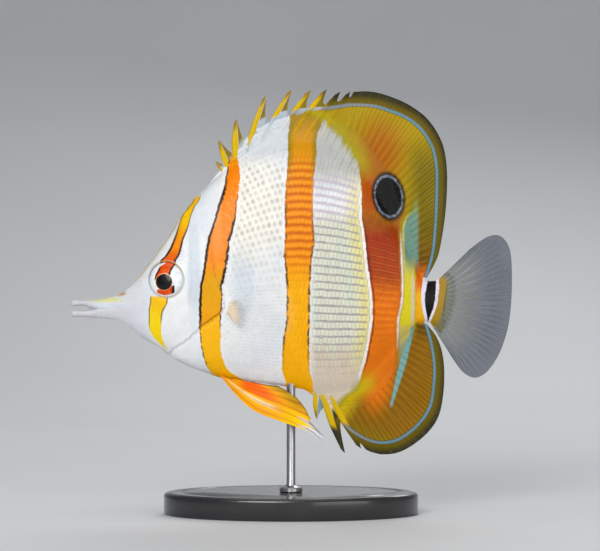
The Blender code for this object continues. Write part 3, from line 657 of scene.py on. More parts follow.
def scale_lattice(grid, row, step, stretch, rng):
    """Roots in staggered rows along the left side, each with its size in millimetres."""
    fine = np.linspace(*stretch, 600)
    count = np.concatenate(([0], np.cumsum(np.diff(fine) / (step * level(STEP_SHARE, fine[:-1])))))
    stations, girths = [], []
    for n in range(-int(ROWS_BELOW / row), int(ROWS_ABOVE / row)):
        along = np.interp(np.arange(0, count[-1]) + 0.5 * (n % 2), count, fine)
        along = along + rng.normal(0, JITTER, len(along)) * step * level(STEP_SHARE, along)
        stations.append(along)
        middle = row_axis(along) + row * n * row_scale(along)
        girths.append(middle + rng.normal(0, JITTER / 2, len(along)) * row)
    station, girth = np.concatenate(stations), np.concatenate(girths)
    place, normal, unwrap, inside = on_skin(grid, station, girth)

    def nearby(back, up=0):
        return on_skin(grid, station + back, girth + row_axis(station + back) - row_axis(station) + up)[0]

    backward = place - nearby(-0.8)
    flat = unit(backward - normal * dot(backward, normal))
    # In a hollow the scales rise with the skin behind them and beside them
    climb = dot(nearby(1.4) - place, normal) / (1.4 * MM)
    flat = unit(flat + normal * np.clip(climb, 0, 0.5))
    beside = (nearby(0, row * 0.6) + nearby(0, -row * 0.6)) / 2
    place = place + normal * np.clip(dot(beside - place, normal), 0, 0.4 * MM)
    normal = unit(normal - flat * dot(normal, flat))
    lengths, widths = step * level(STEP_SHARE, station), row * row_scale(station)
    size = np.column_stack((lengths, widths, np.ones(len(station))))
    lattice = {
        "place": place, "outward": normal, "backward": flat, "size": size, "unwrap": unwrap,
        "chance": rng.random(len(station)),
    }
    return {key: value[inside] for key, value in lattice.items()}


def sized(roots, overlap, grow, thick, mask):
    """The chosen roots, with each scale's size in metres."""
    roots["size"][:, :2] *= np.array(overlap) * MM * grow[:, None]
    roots["size"][:, 2] = MM * thick
    return {key: value[mask] for key, value in roots.items()}


def fish_xz(roots):
    return roots["place"][:, 0] / MM + LENGTH / 2, roots["place"][:, 2] / MM - AXIS_HEIGHT


def flank_share(x, z):
    """1 where the large scales of the flank lie, falling to 0 towards the fins, belly and head."""
    back, belly = depth_inside(x, z)
    chest = (1 - rise(2, 13, z)) * (1 - rise(75, 80, x))
    return rise(-1.5, 8, back) * rise(1, 11, belly) * rise(-0.2, 5, past_gill(x, z)) * (1 - chest)


def mirrored(roots):
    flip = np.array((1, -1, 1))
    turned = dict(roots)
    for key in ("place", "outward", "backward"):
        turned[key] = roots[key] * flip
    turned["unwrap"] = roots["unwrap"] + (0, RIGHT_SHIFT)
    return turned


def lay_coat(grid, finish):
    """The flank's large scales and the small ones of the head, belly and fin bases."""
    rng = np.random.default_rng(SEED)
    tree = scale_coat_tree()
    large = scale_lattice(grid, FLANK_ROW, FLANK_STEP, FLANK_STRETCH, rng)
    share = flank_share(*fish_xz(large))
    large = sized(large, FLANK_OVERLAP, 0.6 + 0.4 * share, 0.5 + 0.5 * share, share > 0.3)

    small = scale_lattice(grid, SMALL_ROW, SMALL_STEP, SMALL_STRETCH, rng)
    x, z = fish_xz(small)
    share = flank_share(x, z)
    beyond = np.clip(-np.minimum(*depth_inside(x, z)), 0, 12)
    # On the thin rim of a sheath the roots keep their distance from the middle plane
    lift = np.where(beyond > 0, np.maximum(RIM_ROOTS - np.abs(small["place"][:, 1]) / MM, 0), 0) * MM
    small["place"] = small["place"] - np.column_stack((0 * lift, lift, 0 * lift))
    small = sized(
        small, SMALL_OVERLAP, 1 - 0.15 * rise(2, 9, beyond), 0.36 - 0.26 * rise(2, 8, beyond),
        (share < 0.5) & (past_gill(x, z) > 0.6) & (x > 54) & (x < 134),
    )

    face = scale_lattice(grid, FACE_ROW, FACE_STEP, FACE_STRETCH, rng)
    x, z = fish_xz(face)
    grow = 0.55 + 0.45 * rise(24, 44, x)
    bare = (x <= 25) | (from_eye(x, z) <= 8) | ((past_gill(x, z) >= -0.7) & (z >= -18))
    face = sized(face, FACE_OVERLAP, grow, 0.26 * grow, ~bare)

    plates = {cells: scale_plate(f"plate_{cells}", cells, ripples) for cells, ripples in ((6, 9), (4, 5))}
    coats = []
    for side, turn in (("left", dict), ("right", mirrored)):
        for name, roots, cells in (("flank", large, 6), ("small", small, 4), ("face", face, 4)):
            coats.append(lay_scales(tree, f"{name}_scales_{side}", turn(roots), plates[cells], finish))
    return coats


# Fins


def closed_sheet(name, near, far, finish, stored):
    """A thin closed sheet between two grids of points, with its stored values on both sides."""
    index = indexed(*near.shape[:2])
    other = index + index.size
    faces = np.concatenate((
        quads(index), quads(other, flip=True),
        strip(index[:, 0], other[:, 0]), strip(other[:, -1], index[:, -1]),
        strip(other[0], index[0]), strip(index[-1], other[-1]),
    ))
    made = as_object(name, np.concatenate((near.reshape(-1, 3), far.reshape(-1, 3))), faces, finish)
    for key, values in stored.items():
        numbers(made.data, key, np.tile(np.broadcast_to(values, index.shape).ravel(), 2))
    return merged(made)


def fin_sheet(name, points, halves, sway, finish, stored):
    """A fin from a grid of (x, z) points, columns by rows, with its half thickness at each."""
    x, z = points[..., 0], points[..., 1]
    return closed_sheet(name, world(x, sway - halves, z), world(x, sway + halves, z), finish, stored)


def ray_profile(position, reach, split=0.3):
    """Ridges at whole and a half positions, each dividing twice towards the rim."""
    offset = position % 1 - 0.5
    apart, again = 0.24 * rise(split, 0.75, reach), 0.12 * rise(0.62, 1, reach)
    width = 0.25 - 0.09 * rise(split, 0.6, reach) - 0.06 * rise(0.62, 0.9, reach)
    best = 0
    for first in (-1, 1):
        for second in (-1, 1):
            best = np.maximum(best, 1 - ((offset + first * apart + second * again) / width) ** 2)
    return np.sqrt(np.clip(best, 0, 1))


def past_line(points, table, outward):
    """How far each point of a grid lies beyond a line, negative on the body's side of it."""
    line = Path(table, steps=8).line
    flat = points.reshape(-1, 2)
    spread = np.hypot(flat[:, None, 0] - line[None, :, 0], flat[:, None, 1] - line[None, :, 1])
    near = np.clip(spread.argmin(axis=1), 1, len(line) - 2)
    run = line[near + 1] - line[near - 1]
    off = flat - line[near]
    turn = (run[:, 0] * off[:, 1] - run[:, 1] * off[:, 0]) / np.linalg.norm(run, axis=1)
    far = spread.min(axis=1)
    return (np.where(far < 2.5, turn, np.sign(turn) * far) * outward).reshape(points.shape[:-1])


def to_tip(points):
    """How far each point of a column lies from the column's outer end."""
    steps = np.linalg.norm(np.diff(points, axis=1), axis=-1)
    return np.concatenate((np.cumsum(steps[:, ::-1], axis=1)[:, ::-1], np.zeros((len(points), 1))), axis=1)


def contour(table, first, last, outward, count=60):
    """Points a little outside a stretch of the back or belly."""
    xs = np.linspace(first, last, count)
    slope = (level(table, xs + 0.1) - level(table, xs - 0.1)) / 0.2
    normal = unit(np.stack((-slope, 1 + 0 * slope), axis=-1) * outward)
    return np.stack((xs, level(table, xs)), axis=-1) + 0.3 * normal


def fan(root, rim, rays, per_ray, rows, sink):
    """Straight lines from a root line to a rim, each starting sink below the root."""
    shares = np.linspace(0, 1, rays * per_ray + 1)
    start, end = root.at(shares), rim.at(shares)
    length = np.linalg.norm(end - start, axis=-1, keepdims=True)
    start = start - (end - start) / length * sink
    reach = np.linspace(0, 1, rows) ** 0.9
    points = start[:, None] + (end - start)[:, None] * reach[None, :, None]
    share = (reach[None, :] * (length + sink) - sink) / length
    return points, np.clip(share, 0, 1), shares[:, None] * rays + 0 * share


# Where the columns of a spine's blade lie, from its leading edge back, and how thick each is
BLADE_STEPS = (1, 0.78, 0.52, 0.3, 0.14, 0)
BLADE_FORMS = (0, 0.72, 1, 0.86, 0.4, 0)
# The rows of a column that lie inside the body, and their shares of the fin's depth there
BURIED = 4
BURIED_STEPS = np.linspace(1, 0.25, BURIED)[:, None]


def spine_lines(spine, base, outward, rows, sink):
    """The columns of a spine's blade, each from inside the body to the tip, and the blade's size."""
    x, tip, _ = spine
    tip = np.array(tip)
    foot = contour(base, x, x + 0.01, outward, 2)[0]
    length = np.linalg.norm(tip - foot)
    size = min(1, length / FULL_SPINE)
    up = (tip - foot) / length
    ahead = np.array((-up[1], up[0])) * outward
    lines = []
    for step in BLADE_STEPS:
        root = contour(base, x + (BLADE - 2 * BLADE * step) * size, x + 2, outward, 2)[0]
        rim = tip + (ahead * BLADE * 0.8 - up * BLADE_TIP) * step * size
        middle = (root + rim) / 2 + ahead * BLADE_BOW * size * min(1, 1.6 * step)
        full = Path((root, middle, rim)).at(np.linspace(0, 1, rows - BURIED))
        lines.append(np.vstack((root - up * sink * BURIED_STEPS, full)))
    return lines, size


# Columns of the membrane behind a spine, and its sag between spines as a share of its height
WEB_COLUMNS, WEB_SAG = 8, 0.1


def spiny_grid(spines, base, end_root, end_rim, outward, rows, sink):
    """Columns of a spiny fin: each spine as a bowed blade, then the membrane down to its notch."""
    sets = [spine_lines(spine, base, outward, rows, sink) for spine in spines]
    share = np.concatenate((np.zeros(BURIED), np.linspace(0, 1, rows - BURIED)))
    columns, halves, spikes = [], [], []
    web_half = 0.42 - 0.22 * share
    for k, (lines, size) in enumerate(sets):
        for line, form in zip(lines, BLADE_FORMS):
            columns.append(line)
            halves.append(web_half + form * (0.62 - 0.42 * share**1.3) * size)
            spikes.append(min(1, form * 3 + 0.6))
        if k + 1 < len(sets):
            lead = sets[k + 1][0][0]
            body = Path(lead[BURIED:]).at(np.linspace(0, 1, rows - BURIED) * spines[k + 1][2])
            behind = np.vstack((lead[:BURIED], body)) - (0.1, 0)
        else:
            inner = end_root + unit(end_root - end_rim) * sink * BURIED_STEPS
            behind = np.vstack((inner, np.linspace(end_root, end_rim, rows - BURIED)))
        trail = lines[-1]
        for part in np.linspace(0, 1, WEB_COLUMNS + 1)[1:]:
            sag = 1 - WEB_SAG * math.sin(math.pi * part)
            column = trail + (behind - trail) * part
            foot = column[BURIED - 1]
            columns.append(foot + (column - foot) * np.where(share > 0, sag, 1)[:, None])
            halves.append(web_half)
            spikes.append(0)
    spike = np.array(spikes)[:, None] + 0 * share[None, :]
    return np.stack(columns), np.stack(halves), spike, np.broadcast_to(share, spike.shape)


def sway_of(points, amount, phase):
    """A slight lazy wave of a soft fin."""
    x, z = points[..., 0], points[..., 1]
    return amount * (np.sin(x * 0.31 + z * 0.13 + phase) + 0.45 * np.sin(z * 0.42 - x * 0.17))


# Columns of points for each ray, rows out along it, and how deep the fin starts in the body
MEDIAN_GRID, MEDIAN_SINK = (16, 46), 3.5
TAIL_GRID, TAIL_SINK = (18, 56), 3
PECTORAL_GRID, PECTORAL_SINK = (14, 36), 2


def median_fin(name, base, stretch, edge, line, rays, spines, outward, finish):
    """A spiny fin and the soft fin behind it as one sheet."""
    root = Path(contour(base, *stretch, outward), steps=1)
    rim = Path(edge)
    points, share, position = fan(root, rim, rays, *MEDIAN_GRID, MEDIAN_SINK)
    ridge = ray_profile(position, share)
    halves = 0.44 - 0.26 * share + ridge * (0.13 - 0.06 * share) * (0.15 + 0.85 * rise(0.1, 0.6, share))
    spiny = spiny_grid(spines, base, root.line[0], rim.line[0], outward, MEDIAN_GRID[1], MEDIAN_SINK)
    # The spiny fin's last column is the soft fin's first
    ahead, thick, spike, reach = (part[:-1] for part in spiny)
    grid = np.concatenate((ahead, points))
    inside = depth_inside(grid[..., 0], grid[..., 1])[0 if outward > 0 else 1]
    sway = sway_of(grid, 0.32, 0.4 * outward) * rise(2, 22, np.maximum(-inside, 0))
    none = 0 * share
    return fin_sheet(name, grid, np.concatenate((thick, halves)), sway, finish, {
        "ray": np.concatenate((0 * spike + 0.5, position)),
        "reach": np.concatenate((reach, share)),
        "inset": np.clip(past_line(grid, line, outward), -9, 9),
        "free": to_tip(grid),
        "spike": np.concatenate((spike, none)),
        "web": np.concatenate((1 - spike, none)),
    })


def tail_fin(finish):
    points, share, position = fan(Path(TAIL_ROOT), Path(TAIL_EDGE), TAIL_RAYS, *TAIL_GRID, TAIL_SINK)
    ridge = ray_profile(position, share, 0.22)
    halves = 0.5 - 0.36 * share + ridge * (0.16 - 0.09 * share)
    sway = sway_of(points, 0.35, 1.2) * rise(136, 156, points[..., 0])
    return fin_sheet("tail_fin_membrane", points, halves, sway, finish, {"ray": position, "reach": share})


# Rows out along the fin, how deep it starts in the body, and the columns from one line to the next
PELVIC_ROWS, PELVIC_SINK, PELVIC_FINE = 40, 2.4, 6


def pelvic_line(points):
    """A line out along the pelvic fin, which starts inside the body."""
    points = np.array(points, float)
    start = points[0] + unit(points[0] - points[1]) * PELVIC_SINK
    return Path([start, *points]).at(np.linspace(0, 1, PELVIC_ROWS))


def pelvic_fin(name, side, finish):
    """The pelvic fin's spine and rays with the membrane between, splayed out below the belly."""
    columns = []
    for ray, behind, notch in zip(PELVIC_RAYS, PELVIC_RAYS[1:], PELVIC_NOTCHES):
        between = (np.array(ray[:4]) + np.array(behind[:4])) / 2
        columns += [pelvic_line(ray), pelvic_line([*between, notch])]
    columns += [pelvic_line(PELVIC_RAYS[-1]), pelvic_line(PELVIC_TRAILING)]
    keys = np.stack(columns)
    last = len(columns) - 1
    place = np.linspace(0, last, PELVIC_FINE * last + 1)
    low = np.clip(place.astype(int), 0, last - 1)
    part = (place - low)[:, None, None]
    points = (1 - part) * keys[low] + part * keys[low + 1]
    share = np.linspace(0, 1, PELVIC_ROWS)[None, :] + 0 * points[..., 0]
    position = place[:, None] / 2 + 0.5 + 0 * share
    ridge, first = ray_profile(position, 0 * share), bump(position, 0.5, 0.32)
    halves = 0.2 + ridge * (0.3 - 0.16 * share) + first * (0.42 - 0.3 * share)
    drop = np.maximum(PELVIC_ROOT_HEIGHT - points[..., 1], 0)
    out = side * (PELVIC_ROOT_OFFSET + drop * math.tan(PELVIC_SPLAY) + 0.25 * np.sin(points[..., 0] * 0.35))
    return fin_sheet(name, points, halves, out, finish, {"ray": position, "reach": share})


def pectoral_fin(name, side, finish):
    """The clear pectoral fin, hinged along its root and leaning out from the body's side."""
    root, rim = Path(PECTORAL_ROOT), Path(PECTORAL_EDGE)
    points, share, position = fan(root, rim, PECTORAL_RAYS, *PECTORAL_GRID, PECTORAL_SINK)
    halves = 0.34 - 0.22 * share + ray_profile(position, share) * (0.2 - 0.1 * share)
    root_x, root_z = PECTORAL_ROOT[1]
    root_y = side_out(np.array(root_x), np.array(root_z)) + 0.1
    swing, back = math.sin(PECTORAL_SPREAD), math.cos(PECTORAL_SPREAD)
    reach, z = points[..., 0] - root_x, points[..., 1]
    cup = 0.6 * np.sin(share * 2.2) + 0.25 * np.sin(z * 0.5) * share
    near, far = (
        world(root_x + reach * back - proud * swing, side * (root_y + reach * swing + proud * back), z)
        for proud in (cup - halves, cup + halves)
    )
    return closed_sheet(name, near, far, finish, {"ray": position, "reach": share})


# Eyes


def eye_matrix(side):
    """The eye's place, turned to look straight out of the head."""
    x, z = EYE
    slope_x = float(flesh(x + 3, z) - flesh(x - 3, z)) / 6
    slope_z = float(flesh(x, z + 3) - flesh(x, z - 3)) / 6
    out = Vector((-slope_x, side, -slope_z)).normalized()
    spot = world(x, side * float(flesh(x, z)), z)
    return Matrix.Translation(Vector(spot.tolist())) @ out.to_track_quat("Z", "Y").to_matrix().to_4x4()


# How far round from its front the ball is made, the pupil's height over the iris, and the radii
# between which it falls
EYE_TURN = math.pi * 0.72
PUPIL_RISE, PUPIL_WALL = 0.16, (2.5, 3.2)


def eyeball(name, side, finish):
    """A flattened ball with its pupil standing a little proud."""
    rings, around = 40, 72
    down = np.linspace(0, EYE_TURN, rings)[:, None]
    turn = circle(around)
    radius = np.sin(down) * EYE_RADIUS
    dome = np.sign(np.cos(down)) * np.abs(1 - np.sin(down) ** 2.5) ** 0.4
    height = dome * EYE_THICKNESS - EYE_SINK + PUPIL_RISE * (1 - rise(*PUPIL_WALL, radius))
    local = np.stack((radius * np.cos(turn), radius * np.sin(turn), height + 0 * turn), axis=-1)
    matrix = np.array(eye_matrix(side))
    verts = local.reshape(-1, 3) * MM @ matrix[:3, :3].T + matrix[:3, 3]
    index = indexed(rings, around, ring=True)
    made = as_object(name, verts, [*quads(index.T).tolist(), index[-1, -2::-1].tolist()], finish)
    return merged(made, 1e-7)


def skin_ring(centre, profile, side, around=96):
    """A ring of skin laid on the head round a point: profile is (radius, height over the head)."""
    turn = circle(around)
    radius, height = (np.array(column)[:, None] for column in zip(*profile))
    x, z = centre[0] + radius * np.cos(turn), centre[1] + radius * np.sin(turn)
    y = side_out(x, z, socket=False) + height
    verts = world(x, side * y, z).reshape(-1, 3)
    return verts, quads(indexed(len(profile), around, ring=True), flip=side < 0)


# Sections of the rings, as (radius, height over the head)
EYE_RING = (
    (8.6, -0.4), (8.1, -0.14), (7.6, -0.05), (7.2, 0.03), (6.95, 0.12), (6.76, 0.17), (6.62, 0.14),
    (6.52, 0.02), (6.45, -0.25), (6.4, -0.9), (6.3, -1.8),
)
# The radii of a nostril's ring are shares of the nostril's
NOSTRIL_RING = (
    (1.9, -0.275), (1.5, 0.022), (1.25, 0.22), (1, 0.286), (0.8, 0.132), (0.62, -0.22), (0.3, -0.495),
    (0.02, -0.55),
)


def make_rings(finish):
    """The rims of skin round the eyes and the nostrils as one piece."""
    verts, faces, total = [], [], 0
    for _, side in SIDES:
        lots = [skin_ring(EYE, EYE_RING, side)]
        for x, z, radius in NOSTRILS:
            profile = [(share * radius, height) for share, height in NOSTRIL_RING]
            lots.append(skin_ring((x, z), profile, side, 28))
        for points, sheets in lots:
            verts.append(points)
            faces.append(sheets + total)
            total += len(points)
    return as_object("eye_and_nostril_rings", np.concatenate(verts), np.concatenate(faces), finish)


# Node trees


def rgb(red, green, blue):
    """A colour given as it is seen, 0 to 255, for a linear socket."""
    shown = [value / 255 for value in (red, green, blue)]
    return (*[v / 12.92 if v <= 0.04045 else ((v + 0.055) / 1.055) ** 2.4 for v in shown], 1)


class Value:
    """A number in a shader tree; sums on it add Math nodes."""

    def __init__(self, tree, socket):
        self.tree, self.socket = tree, socket

    def node(self, operation, *others, clamp=False):
        made = self.tree.nodes.new("ShaderNodeMath")
        made.operation, made.use_clamp = operation, clamp
        for socket, value in zip(made.inputs, (self, *others)):
            join(self.tree, value, socket)
        return Value(self.tree, made.outputs[0])

    def __add__(self, other):
        return self.node("ADD", other)

    def __sub__(self, other):
        return self.node("SUBTRACT", other)

    def __mul__(self, other):
        return self.node("MULTIPLY", other)

    def __truediv__(self, other):
        return self.node("DIVIDE", other)

    def clipped(self):
        return self.node("ADD", 0, clamp=True)

    def size(self):
        return self.node("ABSOLUTE")

    def inverse(self):
        """1 less the value, for a mask."""
        return (self * -1) + 1

    def over(self, low, high):
        """0 below low, 1 above high and smooth between; with low the greater, the other way round."""
        made = self.tree.nodes.new("ShaderNodeMapRange")
        made.interpolation_type = "SMOOTHSTEP"
        join(self.tree, self, made.inputs["Value"])
        ends = (low, high, 0, 1) if low <= high else (high, low, 1, 0)
        for key, value in zip(("From Min", "From Max", "To Min", "To Max"), ends):
            made.inputs[key].default_value = value
        return Value(self.tree, made.outputs[0])

    def within(self, first, full, last, end):
        """1 from full to last, falling to 0 at first and at end."""
        return self.over(first, full) * self.over(end, last)

    def near(self, middle, width):
        """1 at middle, falling to 0 a width away."""
        return (self - middle).size().over(width, 0)


def join(tree, value, socket):
    """Links a value, paint or socket to a socket, or sets a number, text or seen colour there."""
    value = getattr(value, "socket", value)
    if isinstance(value, bpy.types.NodeSocket):
        tree.links.new(value, socket)
    else:
        socket.default_value = rgb(*value) if socket.type == "RGBA" else value


def hypot(x, z):
    return (x * x + z * z).node("SQRT")


def enabled(sockets, name):
    """The socket of a name that is in use: a node keeps one of each name for each kind of data."""
    return next(socket for socket in sockets if socket.name == name and socket.enabled)


class Paint:
    """A colour laid on a surface in coats, each with its mask."""

    def __init__(self, t, ground):
        self.t, self.socket = t, ground

    def coat(self, tint, mask):
        self.socket = self.t.mix(self.socket, tint, mask)
        return self

    def shade(self, mask, tint):
        """Multiplies the colour by a tint where the mask lies."""
        self.socket = self.t.mix(self.socket, tint, mask, "MULTIPLY")
        return self


class Tree:
    """Short words for the nodes of a tree."""

    def __init__(self, tree):
        self.tree = tree

    def add(self, kind, links=(), **settings):
        """A node with its settings, and its inputs linked or set by name or number."""
        made = self.tree.nodes.new(kind)
        for key, value in settings.items():
            setattr(made, key, value)
        for key, value in dict(links).items():
            join(self.tree, value, made.inputs[key] if isinstance(key, int) else enabled(made.inputs, key))
        return made

    def value(self, socket):
        return Value(self.tree, socket)

    def attribute(self, name):
        return self.value(self.add("ShaderNodeAttribute", attribute_name=name).outputs["Fac"])

    def noise(self, place, scale, detail=2, stretch=None):
        if stretch:
            place = self.add("ShaderNodeMapping", {"Vector": place, "Scale": stretch}).outputs[0]
        links = {"Vector": place, "Scale": scale, "Detail": detail, "Roughness": 0.55}
        return self.value(self.add("ShaderNodeTexNoise", links).outputs["Fac"])

    def cells(self, place, scale):
        made = self.add("ShaderNodeTexVoronoi", {"Vector": place, "Scale": scale})
        return self.value(made.outputs["Distance"])

    def mix(self, first, second, share, blend="MIX"):
        made = self.add("ShaderNodeMix", {0: share, 6: first, 7: second}, data_type="RGBA", blend_type=blend)
        return made.outputs[2]

    def paint(self, first, second, share):
        return Paint(self, self.mix(first, second, share))

    def on_fish(self, place, centre=(0, 0)):
        """How far back and up a place in metres lies from a point of the fish, in millimetres."""
        parts = self.add("ShaderNodeSeparateXYZ", {"Vector": place}).outputs
        x, z = (self.value(parts[axis]) * 1000 for axis in "XZ")
        return x + (LENGTH / 2 - centre[0]), z - (AXIS_HEIGHT + centre[1])

    def edge(self, height, table):
        """Where an edge of a marking lies along the fish, from the height: table is (z, x)."""
        made = self.add("ShaderNodeFloatCurve")
        curve = made.mapping.curves[0]
        points = sorted(((z - CURVE_LOW) / CURVE_SPAN, x / LENGTH) for z, x in table)
        points = [(0, points[0][1]), *points, (1, points[-1][1])]
        while len(curve.points) < len(points):
            curve.points.new(0.5, 0.5)
        for spot, place in zip(curve.points, points):
            spot.location = place
            spot.handle_type = "AUTO_CLAMPED"
        made.mapping.update()
        join(self.tree, (height - CURVE_LOW) / CURVE_SPAN, made.inputs["Value"])
        return self.value(made.outputs[0]) * LENGTH


# The lowest height that the curve of an edge covers, and how much it covers
CURVE_LOW, CURVE_SPAN = -60, 150

# Edges of the markings, as (z, x)
EYE_BAND_FRONT = (
    (39.6, 44.8), (36.2, 42.7), (33.3, 40.7), (30.4, 39.6), (27.5, 38.7), (24.6, 37.6), (21.7, 36.4),
    (18.8, 34.6), (16.7, 32.9),
)
EYE_BAND_BACK = (
    (40.4, 47.3), (36.2, 45.1), (33.3, 44), (30.4, 43.3), (27.5, 42.5), (24.6, 41.4), (21.7, 40.7),
    (18.8, 39.8), (16.7, 38.7),
)
CHEEK_BAND_FRONT = (
    (2.9, 29.4), (-1.4, 28.8), (-4.3, 28.8), (-7.2, 29), (-10.1, 30.2), (-13, 32.9), (-15.2, 35),
)
CHEEK_BAND_BACK = (
    (2.9, 35.8), (-1.4, 33.9), (-4.3, 33.5), (-7.2, 33.3), (-10.1, 33.5), (-13, 34.4), (-15.2, 35.3),
)
FRONT_BAND_FRONT = (
    (56.5, 57.4), (47.8, 56.5), (42, 55.4), (36.2, 53.6), (30.4, 51.9), (24.6, 50), (18.8, 49.1),
    (13, 48.3), (7.2, 47.2), (1.4, 47), (-4.3, 46.9), (-10.1, 47.4), (-15.9, 48.1), (-21.7, 49.8),
    (-24.6, 52.2), (-27, 54.5),
)
FRONT_BAND_BACK = (
    (56.5, 60.4), (47.8, 61.4), (42, 60.8), (36.2, 60.1), (30.4, 59.5), (24.6, 58.1), (18.8, 57.4),
    (13, 56.5), (7.2, 55.3), (1.4, 55.2), (-4.3, 54.8), (-10.1, 54.8), (-15.9, 54.9), (-21.7, 56.6),
    (-24.6, 60), (-27, 63.5),
)
MIDDLE_BAND_FRONT = (
    (70, 79.6), (62.3, 78.8), (56.5, 78.6), (47.8, 78), (39.1, 77.5), (30.4, 77.5), (18.8, 77.2),
    (13, 77.6), (7.2, 78.2), (-4.3, 78), (-10.1, 77.1), (-15.9, 76.6), (-21.7, 76.6), (-27.5, 77.8),
)
MIDDLE_BAND_BACK = (
    (70, 92), (62.3, 89.2), (56.5, 88.9), (47.8, 88.1), (39.1, 87.6), (30.4, 87.7), (24.6, 88.1),
    (18.8, 87.3), (7.2, 86.6), (-4.3, 86.4), (-10.1, 86.3), (-21.7, 86.3), (-27.5, 87.8),
)
REAR_LINE = (
    (74, 80.5), (70.5, 87.5), (66.2, 93.6), (62.5, 97.2), (58, 100.5), (51.8, 103.6), (47.8, 104.3),
    (42, 104.7), (33.3, 104.7), (27.5, 105.5), (21.7, 106.1), (15.9, 106.7), (10.1, 107.6),
    (4.3, 108.4), (-1.4, 108.6), (-7.2, 108.2), (-13, 107.2), (-18.8, 106.2), (-24.6, 104.6),
    (-27.5, 103.8), (-30, 102.2), (-32.4, 98.8), (-36.5, 96.2), (-38.5, 94.8), (-46, 92),
)
RED_BAND_BACK = (
    (36, 122.6), (33.3, 120.9), (27.5, 119.4), (21.7, 119.5), (15.9, 119.6), (10.1, 119.8),
    (1.4, 119.4), (-4.3, 118.3), (-15.9, 118.2), (-21.7, 118), (-27.5, 116.9), (-33.3, 114.8),
)
TAIL_BAR_EDGES = (
    ((10, 127.6), (8.1, 127.2), (4, 126.8), (0, 127.2), (-3.8, 128.1), (-6, 128.6)),
    ((10, 129.2), (8.1, 128.9), (3.5, 128.1), (0, 128.4), (-3.8, 129.1), (-6, 129.4)),
    ((11, 132.5), (10.1, 132.4), (6, 132.1), (2.9, 131.8), (0, 131.2), (-2.3, 130.4), (-5, 129.6)),
    ((11, 133.6), (10.1, 133.5), (5.5, 133.3), (1.3, 132.6), (-2, 131.5), (-4.3, 130.6), (-6, 130)),
)

# Ahead of this edge the dorsal spines and their webs are gold; behind it lies a bluish grey stretch
SPINE_GOLD = (
    (48, 57), (54, 61), (58.5, 64.4), (64.5, 68.2), (68.8, 73.5), (71.3, 81), (72.4, 88), (73.4, 97),
)
# The eyespot's centre and its half length and height
SPOT_CENTRE, SPOT_HALF = (115.2, 40.4), (4.6, 6.7)
ROW_MASKS = ("Grey dashes", "Grey dots", "Brown rows", "Lilac rows", "Eyespot")
BROWN, BLACK = (46, 18, 8), (8, 7, 9)


